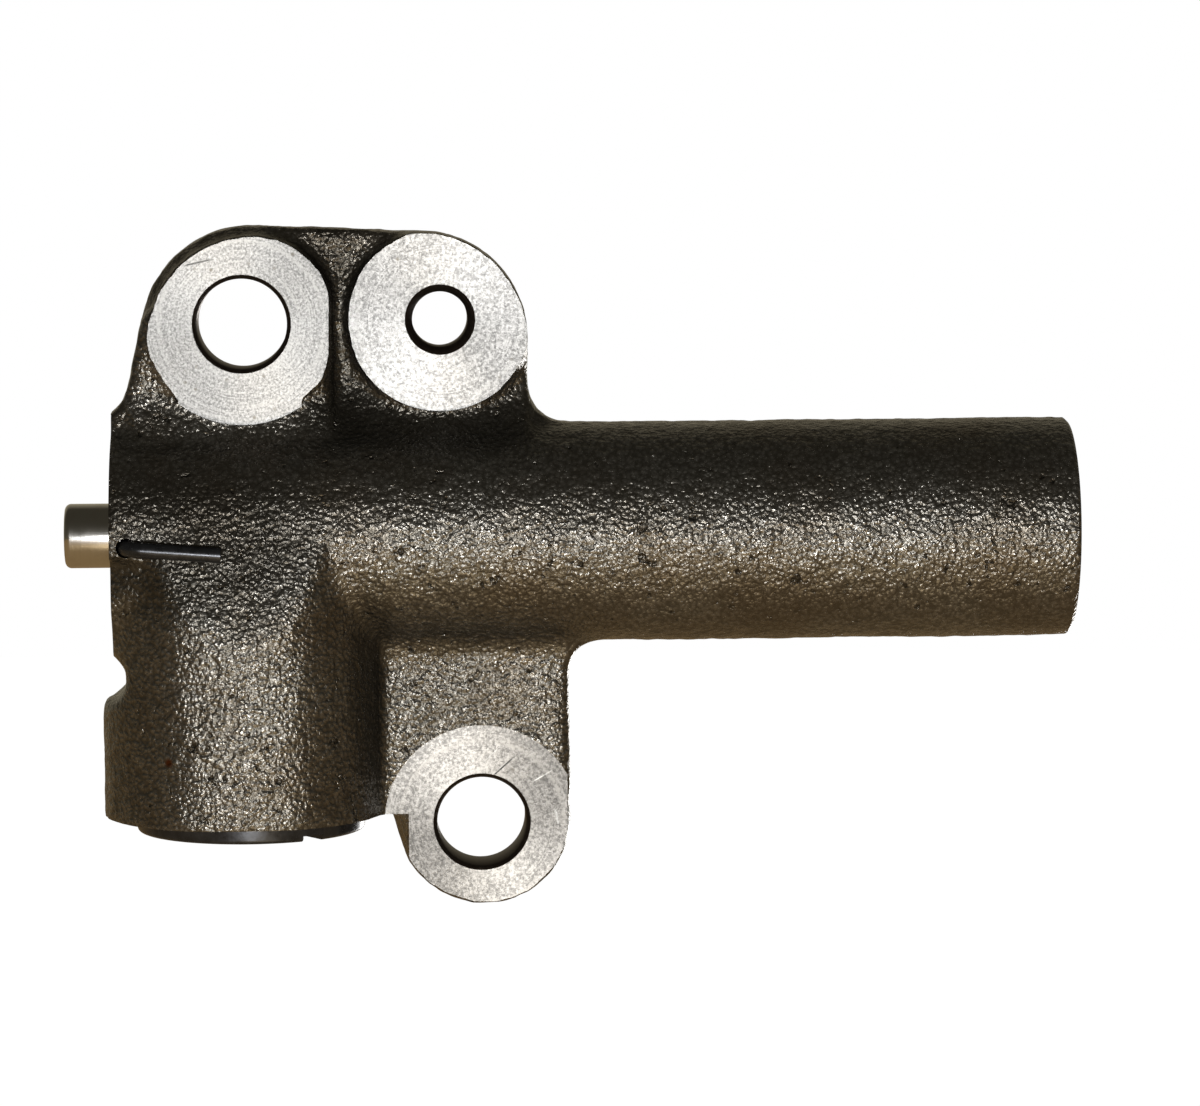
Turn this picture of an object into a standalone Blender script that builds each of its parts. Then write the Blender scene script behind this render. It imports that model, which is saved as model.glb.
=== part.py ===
"""Hydraulic tensioner of a timing belt, bolted to the front of an engine.

The origin is the centre of the push rod's end face. +X runs along the barrel towards its closed
end, +Y points into the engine, and +Z is up. Lengths are in millimetres times MM, so in metres.
"""
from math import acos, atan2, cos, degrees, hypot, pi, radians, sin, sqrt, tan

import bmesh
import bpy
from mathutils import Matrix, Vector

MM = 0.001

# Clearances
FIT = 0.25 * MM             # between a moving piece and the wall that guides it
SEAT = 0.2 * MM             # between a fixed piece and its seat
REST = 0.3 * MM             # between two pieces that press on each other end to end
PAST = 2.0 * MM             # how far a cutter runs past the face that it opens

# Barrel
BARREL_RADIUS = 13.5 * MM
BARREL_LEFT = 6.0 * MM
BARREL_RIGHT = 123.4 * MM
LEFT_FACE_RADIUS = 15.5 * MM
BORE_RADIUS = 9.0 * MM
BORE_START = 20.2 * MM
POCKET_RADIUS = 8.0 * MM
POCKET_START = 10.0 * MM
BORE_CHAMFER = 0.6 * MM

# Reservoir
RESERVOIR_X = 21.6 * MM
RESERVOIR_RADIUS = 17.2 * MM
RESERVOIR_BOTTOM = -34.4 * MM
RESERVOIR_TOP = 4.0 * MM
RESERVOIR_FLAT = 1.1 * MM       # how much its front and back are flattened
SHOULDER_TOP = -4.0 * MM        # where the sloped shoulder leaves the barrel
SHOULDER_BOTTOM = -14.0 * MM    # where it meets the flattened front
CHAMBER_X = 22.3 * MM           # the bores lie a little off the casting's middle
CHAMBER_WALL = 4.2 * MM
CHAMBER_TOP = -12.6 * MM
PLUG_LEDGE = 1.3 * MM           # how much wider the plug's bore is than the chamber
PLUG_BORE_TOP = -27.9 * MM
PORT_RADIUS = 2.0 * MM
PORT_DEPTH = 3.6 * MM           # how far the port runs past the barrel bore's wall
NOTCH_X = 4.6 * MM
NOTCH_Z = -16.3 * MM
NOTCH_RADIUS = 2.6 * MM

# Upper plate with two bosses
MOUNTING_Y = 4.2 * MM
PLATE_HALF = 3.7 * MM
BOLT_HOLE_RADIUS = 5.5 * MM
BOLT_CHAMFER = 0.5 * MM
CAST_STOCK = 0.7 * MM           # iron that machining takes off a cast face
CAST_EDGE = 1.6 * MM            # how round the cast edges are
UPPER_LEFT_HOLE = (22.0 * MM, 26.0 * MM)
UPPER_LEFT_SHIFT = (1.1 * MM, -1.5 * MM)    # from the hole to the middle of its corner
UPPER_LEFT_CORNER = 13.4 * MM
UPPER_LEFT_FACE_Y = -5.0 * MM
UPPER_LEFT_FACE_RADIUS = 12.5 * MM
UPPER_LEFT_PAD_RADIUS = 11.2 * MM
UPPER_LEFT_PAD_EDGE = 10.6 * MM    # from the hole to the pad's straight right side
UPPER_RIGHT_HOLE = (46.1 * MM, 26.3 * MM)
UPPER_RIGHT_SHIFT = (-0.3 * MM, -0.4 * MM)
UPPER_RIGHT_CORNER = 10.8 * MM
UPPER_RIGHT_FACE_Y = -3.3 * MM
UPPER_RIGHT_FACE_RADIUS = 11.2 * MM
TAP_RADIUS = 3.4 * MM
TAP_CHAMFER = 0.9 * MM
PLATE_FILLET = 4.8 * MM
PLATE_LEAN = 12.6               # degrees that the plate's left edge leans
PLATE_FOOT_TOP = 18.2 * MM      # where that edge starts to curve out to the left face
PLATE_FOOT_RADIUS = 5.0 * MM
PLATE_FOOT_TURN = 62            # degrees at which the curve meets the left face
WEB_FILLET = 4.0 * MM           # between the plate or lug and the barrel's round side

# Lower lug with one boss
LUG_HALF = 4.0 * MM
LUG_HOLE = (50.7 * MM, -35.5 * MM)
LUG_SHIFT = (0.3 * MM, 0.3 * MM)
LUG_CORNER = 10.6 * MM
LUG_FACE_Y = -3.6 * MM
LUG_FACE_RADIUS = 12.0 * MM
LUG_FILLET = 3.0 * MM
LUG_STEP_X = 41.7 * MM          # left edge of the lug's front under the reservoir's bottom
LUG_HEEL_LEAN = 2.3 * MM        # how far the lug's back reaches past it to the left

# Push rod and stopper pin
ROD_RADIUS = 3.95 * MM
ROD_EDGE = 0.5 * MM
ROD_TRAVEL = 10.5 * MM
PIN_X = 8.0 * MM
PIN_Z = -0.4 * MM
PIN_RADIUS = 0.95 * MM
PIN_BEND = 1.9 * MM
PIN_LEG_END = 19.4 * MM
PIN_DROOP = radians(4.3)
PIN_TIP_Y = -1.6 * MM
PIN_HOLE_DEPTH = 3.1 * MM
PIN_PULL_RATIO = 3.0            # the pin's travel for each unit of the rod's travel

# Seal, bush and circlip behind the left wall
SEAL_LENGTH = 4.4 * MM
SEAL_GROOVE_DEPTH = 2.4 * MM
SEAL_LIP = 1.1 * MM             # half the width of the groove behind the lip
BUSH_LENGTH = 4.6 * MM
CIRCLIP_THICKNESS = 1.0 * MM
CIRCLIP_WIDTH = 1.5 * MM
CIRCLIP_GROOVE = 0.9 * MM
CIRCLIP_OPENING = radians(40)

# Piston and check valve
PISTON_LENGTH = 15.2 * MM
PISTON_NECK = 0.9 * MM
PISTON_NECK_LENGTH = 8.4 * MM
ROD_SOCKET_DEPTH = 5.8 * MM
WEAR_RING_LENGTH = 3.0 * MM
WEAR_RING_THICKNESS = 1.2 * MM
WEAR_RING_FIT = 0.15 * MM
WEAR_RING_OPENING = radians(8)
WEAR_RING_BACK = 2.3 * MM       # from its groove to the piston's back
CHECK_BALL_RADIUS = 1.8 * MM
CHECK_BALL_FIT = 0.1 * MM
VALVE_CAVITY_RADIUS = 3.6 * MM
VALVE_CAVITY_DEPTH = 5.6 * MM
VALVE_SEAT_LENGTH = 2.2 * MM
VALVE_SEAT_SLOPE = radians(45)
OIL_PASSAGE_RADIUS = 1.2 * MM
CROSS_HOLE_RADIUS = 0.9 * MM
CAGE_SHEET = 0.6 * MM
CAGE_FLANGE_RADIUS = 7.6 * MM
CAGE_CROWN_RADIUS = 3.3 * MM
CAGE_CROWN_HEIGHT = 2.6 * MM
CAGE_HOLE_RADIUS = 0.5 * MM
CAGE_HOLE_SPACING = 1.7 * MM
BALL_SPRING_RADIUS = 1.4 * MM
BALL_SPRING_WIRE = 0.22 * MM
BALL_SPRING_TURNS = 4
BALL_SPRING_SEAT = 1.3 * MM     # from the ball's middle to the spring's first turn

# Return spring and the closed end
SPRING_RADIUS = 6.7 * MM
SPRING_WIRE = 1.0 * MM
SPRING_TURNS = 11
END_PLUG_LENGTH = 7.6 * MM
END_PLUG_SPIGOT = 6.0 * MM
END_PLUG_GAP = 3.3 * MM         # from the plug's outer face to the barrel's end
END_PLUG_RECESS = 5.0 * MM
END_PLUG_RECESS_DEPTH = 3.0 * MM
SNAP_RING_WIDTH = 2.2 * MM
O_RING_CORD = 1.1 * MM
SNAP_RING_THICKNESS = 1.1 * MM

# Reservoir's own pieces
PLUG_STANDOUT = 2.0 * MM
PLUG_GROOVE_DROP = 2.4 * MM     # from the plug's top to the middle of its groove
PLUG_CHAMFER = 0.5 * MM
PLUG_SLOT_WIDTH = 2.9 * MM
PLUG_SLOT_DEPTH = 0.7 * MM
PLUG_SLOT_TURN = radians(-56)
PLUG_RECESS_RADIUS = 9.0 * MM
PLUG_RECESS_DEPTH = 3.5 * MM
PLUNGER_TOP = -16.6 * MM
PLUNGER_LENGTH = 4.2 * MM
PLUNGER_SKIRT = 1.4 * MM
PLUNGER_SPRING_RADIUS = 8.0 * MM
PLUNGER_SPRING_WIRE = 0.7 * MM
PLUNGER_SPRING_TURNS = 4

# Fineness of the mesh
CAST_VOXEL = 0.9 * MM
CAST_SMOOTHING = 6
CAST_KEPT = 0.055               # share of the cast surface's facets that is kept
ROUND = 32                      # facets round a large turned piece
SMALL_ROUND = 20
CAST_ROUND = 64                 # facets round the cylinders that the casting is fused from
COIL_ROUND = 12                 # points in each turn of a spring

X_AXIS = Vector((1, 0, 0))
Y_AXIS = Vector((0, 1, 0))
Z_AXIS = Vector((0, 0, 1))


def clear_scene():
    for obj in list(bpy.data.objects):
        bpy.data.objects.remove(obj, do_unlink=True)


def make_material(name, color, roughness, metallic):
    material = bpy.data.materials.new(name)
    material.use_nodes = True
    shader = material.node_tree.nodes["Principled BSDF"]
    shader.inputs["Base Color"].default_value = (*color, 1.0)
    shader.inputs["Roughness"].default_value = roughness
    shader.inputs["Metallic"].default_value = metallic
    return material


def turn_to(axis):
    """A matrix that turns +Z onto the given axis."""
    return axis.to_track_quat("Z", "Y").to_matrix().to_4x4()


def add_object(name, bm, material=None, location=(0, 0, 0), sharp=radians(35)):
    bmesh.ops.recalc_face_normals(bm, faces=bm.faces)
    mesh = bpy.data.meshes.new(name)
    bm.to_mesh(mesh)
    bm.free()
    mesh.shade_smooth()
    mesh.set_sharp_from_angle(angle=sharp)
    obj = bpy.data.objects.new(name, mesh)
    obj.location = location
    bpy.context.scene.collection.objects.link(obj)
    if material:
        mesh.materials.append(material)
    return obj


def make_cutter(name, bm):
    cutter = add_object(name, bm)
    cutter.hide_render = True
    cutter.display_type = "WIRE"
    return cutter


def cut(obj, cutter):
    boolean = obj.modifiers.new(cutter.name, "BOOLEAN")
    boolean.operation = "DIFFERENCE"
    boolean.object = cutter


def turned(profile, axis=X_AXIS, origin=(0, 0, 0), steps=ROUND):
    """A bmesh turned from (along, radius) points about an axis through the origin.

    The points go round the section. Points of radius 0 close the piece on its axis.
    """
    bm = bmesh.new()
    points = [bm.verts.new((radius, 0, along)) for along, radius in profile]
    closed = all(radius > 0 for _, radius in profile)
    edges = [bm.edges.new(pair) for pair in zip(points, points[1:])]
    if closed:
        edges.append(bm.edges.new((points[-1], points[0])))
    bmesh.ops.spin(bm, geom=points + edges, cent=(0, 0, 0), axis=(0, 0, 1), angle=2 * pi,
                   steps=steps, use_merge=True)
    bmesh.ops.remove_doubles(bm, verts=bm.verts, dist=0.001 * MM)
    place = Matrix.Translation(origin) @ turn_to(axis)
    bmesh.ops.transform(bm, matrix=place, verts=bm.verts)
    return bm


def add_rod_shape(bm, start, end, radius, steps=ROUND):
    """Adds a plain closed cylinder between two points."""
    start, end = Vector(start), Vector(end)
    place = Matrix.Translation((start + end) / 2) @ turn_to((end - start).normalized())
    bmesh.ops.create_cone(bm, cap_ends=True, segments=steps, radius1=radius, radius2=radius,
                          depth=(end - start).length, matrix=place)


def add_box_shape(bm, low, high):
    low, high = Vector(low), Vector(high)
    size = high - low
    place = Matrix.Translation((low + high) / 2) @ Matrix.Diagonal((*size, 1))
    bmesh.ops.create_cube(bm, size=1, matrix=place)


def add_plate_shape(bm, outline, front, back, edge=0):
    """Adds a plate between two Y values from an outline of (x, z) points.

    Its edges along the front and the back are rounded where edge is given.
    """
    plate = bmesh.new()
    face = plate.faces.new([plate.verts.new((x, front, z)) for x, z in outline])
    grown = bmesh.ops.extrude_face_region(plate, geom=[face])
    moved = [item for item in grown["geom"] if isinstance(item, bmesh.types.BMVert)]
    bmesh.ops.translate(plate, vec=(0, back - front, 0), verts=moved)
    if edge:
        rims = [rim for rim in plate.edges if rim.verts[0].co.y == rim.verts[1].co.y]
        bmesh.ops.bevel(plate, geom=rims, offset=edge, offset_type="OFFSET", segments=3,
                        profile=0.5, affect="EDGES", material=-1, clamp_overlap=True)
    append_shape(bm, plate)


def append_shape(bm, shape):
    mesh = bpy.data.meshes.new("cast_shape")
    shape.to_mesh(mesh)
    shape.free()
    bm.from_mesh(mesh)
    bpy.data.meshes.remove(mesh)


def arc(centre, radius, start, end, steps=8):
    """Points on an arc, with its angles in degrees from +X towards +Z."""
    angles = [radians(start + (end - start) * i / steps) for i in range(steps + 1)]
    return [(centre[0] + radius * cos(a), centre[1] + radius * sin(a)) for a in angles]


def shifted(hole, shift):
    """The middle of the rounded corner that runs round a hole."""
    return hole[0] + shift[0], hole[1] + shift[1]


def tangent_angle(left, left_radius, right, right_radius):
    """The direction, in degrees, of the upper common tangent's normal of two circles."""
    along_x, along_z = right[0] - left[0], right[1] - left[1]
    distance = hypot(along_x, along_z)
    return degrees(atan2(along_z, along_x) + acos((left_radius - right_radius) / distance))


def touch_angle(point, centre, radius):
    """The direction from a circle's centre, in degrees, where a tangent from a point touches."""
    away_x, away_z = point[0] - centre[0], point[1] - centre[1]
    return degrees(atan2(away_z, away_x) + acos(radius / hypot(away_x, away_z)))


def upper_plate_outline():
    """Corners run round the two holes, joined by a tangent, with a fillet to the barrel."""
    left = shifted(UPPER_LEFT_HOLE, UPPER_LEFT_SHIFT)
    right = shifted(UPPER_RIGHT_HOLE, UPPER_RIGHT_SHIFT)
    tangent = tangent_angle(left, UPPER_LEFT_CORNER, right, UPPER_RIGHT_CORNER)
    right_edge = right[0] + UPPER_RIGHT_CORNER
    fillet_centre = (right_edge + PLATE_FILLET, BARREL_RADIUS + PLATE_FILLET)
    lean = radians(PLATE_LEAN)
    lean_top = (left[0] - UPPER_LEFT_CORNER * cos(lean), left[1] + UPPER_LEFT_CORNER * sin(lean))
    foot_x = lean_top[0] - (lean_top[1] - PLATE_FOOT_TOP) * tan(lean)
    foot_centre = (foot_x - PLATE_FOOT_RADIUS * cos(lean),
                   PLATE_FOOT_TOP + PLATE_FOOT_RADIUS * sin(lean))
    inside = BARREL_RADIUS / 2
    return ([(BARREL_LEFT, inside)]
            + arc(foot_centre, PLATE_FOOT_RADIUS, -PLATE_FOOT_TURN, -PLATE_LEAN, steps=4)
            + arc(left, UPPER_LEFT_CORNER, 180 - PLATE_LEAN, tangent)
            + arc(right, UPPER_RIGHT_CORNER, tangent, 0)
            + arc(fillet_centre, PLATE_FILLET, 180, 270, steps=5)
            + [(fillet_centre[0], inside)])


def lug_heel():
    """The corner where the lug's left edge meets the reservoir's bottom."""
    return LUG_STEP_X - LUG_HEEL_LEAN, RESERVOIR_BOTTOM


def lug_outline():
    """The lug hangs from the barrel and the reservoir's right side, round the lower hole."""
    corner = shifted(LUG_HOLE, LUG_SHIFT)
    fillet_centre = (corner[0] + LUG_CORNER + LUG_FILLET, -BARREL_RADIUS - LUG_FILLET)
    touch = touch_angle(lug_heel(), corner, LUG_CORNER)
    left = CHAMBER_X + chamber_radius()
    inside = BARREL_RADIUS / 2
    return ([(left, -inside), (fillet_centre[0], -inside)]
            + arc(fillet_centre, LUG_FILLET, 90, 180, steps=4)
            + arc(corner, LUG_CORNER, 360, touch, steps=12)
            + [lug_heel(), (left, RESERVOIR_BOTTOM)])


def add_web_fillet(bm, start, end, half, side, fronts=(-1, 1)):
    """Fills the corner between a flat web and the barrel with a round fillet.

    The web stands above the barrel for side 1 and hangs below it for side -1.
    """
    centre_y = half + WEB_FILLET
    centre_z = sqrt((BARREL_RADIUS + WEB_FILLET) ** 2 - centre_y ** 2)
    touch = atan2(centre_z, centre_y)
    steps = 6
    section = [(0, BARREL_RADIUS / 2), (0, centre_z)]
    for step in range(steps + 1):
        turn = pi + touch * step / steps
        section.append((centre_y + WEB_FILLET * cos(turn), centre_z + WEB_FILLET * sin(turn)))
    for front in fronts:
        points = [bm.verts.new((start, front * y, side * z)) for y, z in section]
        grown = bmesh.ops.extrude_face_region(bm, geom=[bm.faces.new(points)])
        moved = [item for item in grown["geom"] if isinstance(item, bmesh.types.BMVert)]
        bmesh.ops.translate(bm, vec=(end - start, 0, 0), verts=moved)


def trim(shape, place, normal):
    """Cuts away what lies beyond a plane and closes the cut."""
    bmesh.ops.bisect_plane(shape, geom=shape.verts[:] + shape.edges[:] + shape.faces[:],
                           plane_co=place, plane_no=Vector(normal).normalized(),
                           clear_outer=True)
    rim = [edge for edge in shape.edges if edge.is_boundary]
    bmesh.ops.contextual_create(shape, geom=rim)


def add_reservoir_shape(bm):
    """An upright cylinder, flattened in front and behind, that leans in to the barrel above."""
    shape = bmesh.new()
    add_rod_shape(shape, (RESERVOIR_X, 0, RESERVOIR_BOTTOM - CAST_STOCK),
                  (RESERVOIR_X, 0, RESERVOIR_TOP), RESERVOIR_RADIUS, steps=CAST_ROUND)
    flat_y = RESERVOIR_RADIUS - RESERVOIR_FLAT
    top_y = sqrt(BARREL_RADIUS ** 2 - SHOULDER_TOP ** 2)
    for side in (-1, 1):
        trim(shape, (RESERVOIR_X, side * flat_y, 0), (0, side, 0))
        lean = (0, side * (SHOULDER_TOP - SHOULDER_BOTTOM), flat_y - top_y)
        trim(shape, (RESERVOIR_X, side * top_y, SHOULDER_TOP), lean)
    append_shape(bm, shape)


def add_boss(bm, centre, radius, front, right_edge=None):
    """A round boss through the plate, cut straight on its right side where that is given."""
    shape = bmesh.new()
    add_rod_shape(shape, (centre[0], front - CAST_STOCK, centre[1]),
                  (centre[0], MOUNTING_Y + CAST_STOCK, centre[1]), radius, steps=48)
    if right_edge:
        trim(shape, (centre[0] + right_edge, 0, 0), (1, 0, 0))
    append_shape(bm, shape)


def cast_blank():
    """The casting as overlapping closed shapes, which the voxel remesh fuses into one."""
    bm = bmesh.new()
    add_rod_shape(bm, (BARREL_LEFT - CAST_STOCK, 0, 0), (BARREL_RIGHT + CAST_STOCK, 0, 0),
                  BARREL_RADIUS, steps=CAST_ROUND)
    add_reservoir_shape(bm)
    add_plate_shape(bm, upper_plate_outline(), -PLATE_HALF, PLATE_HALF, CAST_EDGE)
    add_plate_shape(bm, lug_outline(), -LUG_HALF, LUG_HALF, CAST_EDGE)
    plate_left = UPPER_LEFT_HOLE[0] - UPPER_LEFT_PAD_RADIUS
    add_web_fillet(bm, plate_left, UPPER_RIGHT_HOLE[0] + UPPER_RIGHT_CORNER, PLATE_HALF, 1)
    add_web_fillet(bm, plate_left, UPPER_LEFT_HOLE[0] + UPPER_LEFT_PAD_EDGE, -UPPER_LEFT_FACE_Y,
                   1, fronts=(-1,))
    add_web_fillet(bm, CHAMBER_X + chamber_radius(), LUG_HOLE[0] + LUG_CORNER, LUG_HALF, -1)
    add_boss(bm, UPPER_LEFT_HOLE, UPPER_LEFT_PAD_RADIUS, UPPER_LEFT_FACE_Y, UPPER_LEFT_PAD_EDGE)
    add_boss(bm, shifted(UPPER_RIGHT_HOLE, UPPER_RIGHT_SHIFT), UPPER_RIGHT_CORNER,
             UPPER_RIGHT_FACE_Y)
    add_boss(bm, shifted(LUG_HOLE, LUG_SHIFT), LUG_CORNER, LUG_FACE_Y)
    return bm


def turned_cutter(name, profile, axis=X_AXIS, origin=(0, 0, 0), steps=ROUND):
    return make_cutter(name, turned(profile, axis, origin, steps))


def hole_cutter(name, hole, radius, chamfer, front, face_radius):
    """Cuts a through hole along Y with its front chamfer and the machined face round it."""
    far = MOUNTING_Y + PAST + CAST_STOCK
    near = front - 4 * PAST
    profile = [(far, 0), (far, radius), (front + chamfer, radius), (front, radius + chamfer),
               (front, face_radius), (near, face_radius), (near, 0)]
    return turned_cutter(name, profile, Y_AXIS, (hole[0], 0, hole[1]))


def back_face_cutter():
    """Cuts the backs of the three bosses to the plane that meets the engine."""
    bm = bmesh.new()
    for centre, radius in ((UPPER_LEFT_HOLE, UPPER_LEFT_PAD_RADIUS),
                           (shifted(UPPER_RIGHT_HOLE, UPPER_RIGHT_SHIFT), UPPER_RIGHT_CORNER),
                           (shifted(LUG_HOLE, LUG_SHIFT), LUG_CORNER)):
        add_rod_shape(bm, (centre[0], MOUNTING_Y, centre[1]),
                      (centre[0], MOUNTING_Y + 4 * PAST, centre[1]), radius + FIT)
    return make_cutter("back_face_cutter", bm)


def left_face_cutter():
    bm = bmesh.new()
    add_rod_shape(bm, (BARREL_LEFT - 4 * PAST, 0, 0), (BARREL_LEFT, 0, 0), LEFT_FACE_RADIUS)
    return make_cutter("left_face_cutter", bm)


def right_face_cutter():
    bm = bmesh.new()
    wide = 2 * BARREL_RADIUS
    add_box_shape(bm, (BARREL_RIGHT, -wide, -wide), (BARREL_RIGHT + 2 * PAST, wide, wide))
    return make_cutter("right_face_cutter", bm)


def bottom_face_cutter():
    """Cuts the reservoir's bottom flat, up to the step beside the lug's boss."""
    bm = bmesh.new()
    wide = RESERVOIR_RADIUS + PAST
    add_box_shape(bm, (RESERVOIR_X - wide, -wide, RESERVOIR_BOTTOM - 2 * PAST),
                  (lug_heel()[0], wide, RESERVOIR_BOTTOM))
    return make_cutter("bottom_face_cutter", bm)


def heel_cutter():
    """Cuts the slanted facet beside the lug's front edge, under the reservoir's bottom."""
    bm = bmesh.new()
    corner = shifted(LUG_HOLE, LUG_SHIFT)
    low, far_left = corner[1] - LUG_CORNER, lug_heel()[0] - PAST
    front = LUG_FACE_Y - 2 * PAST
    plan = [(far_left, front), (LUG_STEP_X, front), (LUG_STEP_X, LUG_FACE_Y),
            (lug_heel()[0], LUG_HALF), (far_left, LUG_HALF)]
    face = bm.faces.new([bm.verts.new((x, y, RESERVOIR_BOTTOM)) for x, y in plan])
    grown = bmesh.ops.extrude_face_region(bm, geom=[face])
    moved = [item for item in grown["geom"] if isinstance(item, bmesh.types.BMVert)]
    bmesh.ops.translate(bm, vec=(0, 0, low - RESERVOIR_BOTTOM), verts=moved)
    return make_cutter("heel_cutter", bm)


def notch_cutter():
    """Cuts the round groove across the reservoir's left side, under the left face."""
    bm = bmesh.new()
    add_rod_shape(bm, (NOTCH_X, -RESERVOIR_RADIUS, NOTCH_Z), (NOTCH_X, RESERVOIR_RADIUS, NOTCH_Z),
                  NOTCH_RADIUS, steps=SMALL_ROUND)
    return make_cutter("notch_cutter", bm)


def end_ring_groove():
    """The snap ring's groove, as (start, end) along X."""
    start = BARREL_RIGHT - END_PLUG_GAP + REST - SEAT
    return start, start + SNAP_RING_THICKNESS + 2 * SEAT


def circlip_groove():
    start = BORE_START + REST - SEAT
    return start, start + CIRCLIP_THICKNESS + 2 * SEAT


def bore_cutter():
    """Cuts the stepped bore from the right end, with the grooves for its two rings."""
    ring_start, ring_end = end_ring_groove()
    clip_start, clip_end = circlip_groove()
    groove = BORE_RADIUS + CIRCLIP_GROOVE
    end = BARREL_RIGHT + PAST
    profile = [(BARREL_LEFT - PAST, 0), (BARREL_LEFT - PAST, ROD_RADIUS + FIT),
               (POCKET_START, ROD_RADIUS + FIT), (POCKET_START, POCKET_RADIUS),
               (BORE_START, POCKET_RADIUS), (BORE_START, BORE_RADIUS),
               (clip_start, BORE_RADIUS), (clip_start, groove), (clip_end, groove),
               (clip_end, BORE_RADIUS), (ring_start, BORE_RADIUS), (ring_start, groove),
               (ring_end, groove), (ring_end, BORE_RADIUS),
               (BARREL_RIGHT - BORE_CHAMFER, BORE_RADIUS),
               (BARREL_RIGHT, BORE_RADIUS + BORE_CHAMFER),
               (end, BORE_RADIUS + BORE_CHAMFER), (end, 0)]
    return turned_cutter("bore_cutter", profile)


def chamber_radius():
    return RESERVOIR_RADIUS - CHAMBER_WALL


def plug_bore_radius():
    return chamber_radius() + PLUG_LEDGE


def reservoir_cutter():
    """Cuts the chamber, the plug's seat and the port up into the bore."""
    port_top = PORT_DEPTH - BORE_RADIUS
    bottom = RESERVOIR_BOTTOM - PAST
    profile = [(port_top, 0), (port_top, PORT_RADIUS), (CHAMBER_TOP, PORT_RADIUS),
               (CHAMBER_TOP, chamber_radius()), (PLUG_BORE_TOP, chamber_radius()),
               (PLUG_BORE_TOP, plug_bore_radius()), (bottom, plug_bore_radius()), (bottom, 0)]
    return turned_cutter("reservoir_cutter", profile, Z_AXIS, (CHAMBER_X, 0, 0))


def pin_hole_cutter():
    bm = bmesh.new()
    add_rod_shape(bm, (PIN_X, -BARREL_RADIUS - PAST, PIN_Z), (PIN_X, PIN_TIP_Y, PIN_Z),
                  PIN_RADIUS + FIT, steps=SMALL_ROUND)
    return make_cutter("pin_hole_cutter", bm)


def make_body(material):
    """The casting: fused and rounded as cast, then machined where the real one is."""
    body = add_object("body", cast_blank(), material)
    remesh = body.modifiers.new("cast_skin", "REMESH")
    remesh.mode = "VOXEL"
    remesh.voxel_size = CAST_VOXEL
    smooth = body.modifiers.new("cast_fillets", "SMOOTH")
    smooth.factor = 0.5
    smooth.iterations = CAST_SMOOTHING
    decimate = body.modifiers.new("fewer_facets", "DECIMATE")
    decimate.ratio = CAST_KEPT
    cutters = [
        left_face_cutter(), right_face_cutter(), bottom_face_cutter(), notch_cutter(),
        hole_cutter("upper_left_cutter", UPPER_LEFT_HOLE, BOLT_HOLE_RADIUS, BOLT_CHAMFER,
                    UPPER_LEFT_FACE_Y, UPPER_LEFT_FACE_RADIUS),
        hole_cutter("upper_right_cutter", UPPER_RIGHT_HOLE, TAP_RADIUS, TAP_CHAMFER,
                    UPPER_RIGHT_FACE_Y, UPPER_RIGHT_FACE_RADIUS),
        hole_cutter("lug_cutter", LUG_HOLE, BOLT_HOLE_RADIUS, BOLT_CHAMFER,
                    LUG_FACE_Y, LUG_FACE_RADIUS),
        back_face_cutter(), heel_cutter(), bore_cutter(), reservoir_cutter(), pin_hole_cutter(),
    ]
    for cutter in cutters:
        cut(body, cutter)
    return body


def make_rod(material, slide):
    """The push rod, with the blind hole that the stopper pin enters.

    The hole is longer towards the piston, because the pin and the rod are coupled: the pin is
    still leaving the hole while the rod starts to move.
    """
    end = piston_front() + ROD_SOCKET_DEPTH - SEAT
    profile = [(0, 0), (0, ROD_RADIUS - ROD_EDGE)]
    steps = 4
    for step in range(1, steps + 1):
        turn = step / steps * pi / 2
        profile.append((ROD_EDGE * (1 - cos(turn)), ROD_RADIUS - ROD_EDGE * (1 - sin(turn))))
    profile += [(end, ROD_RADIUS), (end, 0)]
    rod = add_object("rod", turned(profile), material)
    bm = bmesh.new()
    reach = ROD_RADIUS + PIN_TIP_Y + FIT
    overlap_travel = reach / PIN_PULL_RATIO + FIT
    radius = PIN_RADIUS + FIT
    bottom = PIN_HOLE_DEPTH - ROD_RADIUS
    outline = (arc((PIN_X, PIN_Z), radius, 90, 270, steps=8)
               + arc((PIN_X + overlap_travel, PIN_Z), radius, -90, 90, steps=8))
    add_plate_shape(bm, outline, -ROD_RADIUS - PAST, bottom)
    cut(rod, make_cutter("rod_pin_hole_cutter", bm))
    rod.parent = slide
    return rod


def make_stopper_pin(material, slide):
    """A wire pin: straight through the wall into the rod, then bent along the casting."""
    leg_y = -(BARREL_RADIUS + REST + PIN_RADIUS)
    points = [Vector((PIN_X, PIN_TIP_Y, PIN_Z)), Vector((PIN_X, leg_y + PIN_BEND, PIN_Z))]
    along = Vector((cos(PIN_DROOP), 0, -sin(PIN_DROOP)))
    steps = 6
    for step in range(1, steps + 1):
        turn = step / steps * pi / 2
        points.append(Vector((PIN_X, leg_y + PIN_BEND * (1 - sin(turn)), PIN_Z))
                      + along * PIN_BEND * (1 - cos(turn)))
    leg = (PIN_LEG_END - PIN_X) / cos(PIN_DROOP)
    points.append(Vector((PIN_X, leg_y, PIN_Z)) + along * leg)
    pin = add_wire("stopper_pin", points, PIN_RADIUS, 4, material)
    pin.parent = slide
    return pin


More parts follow.
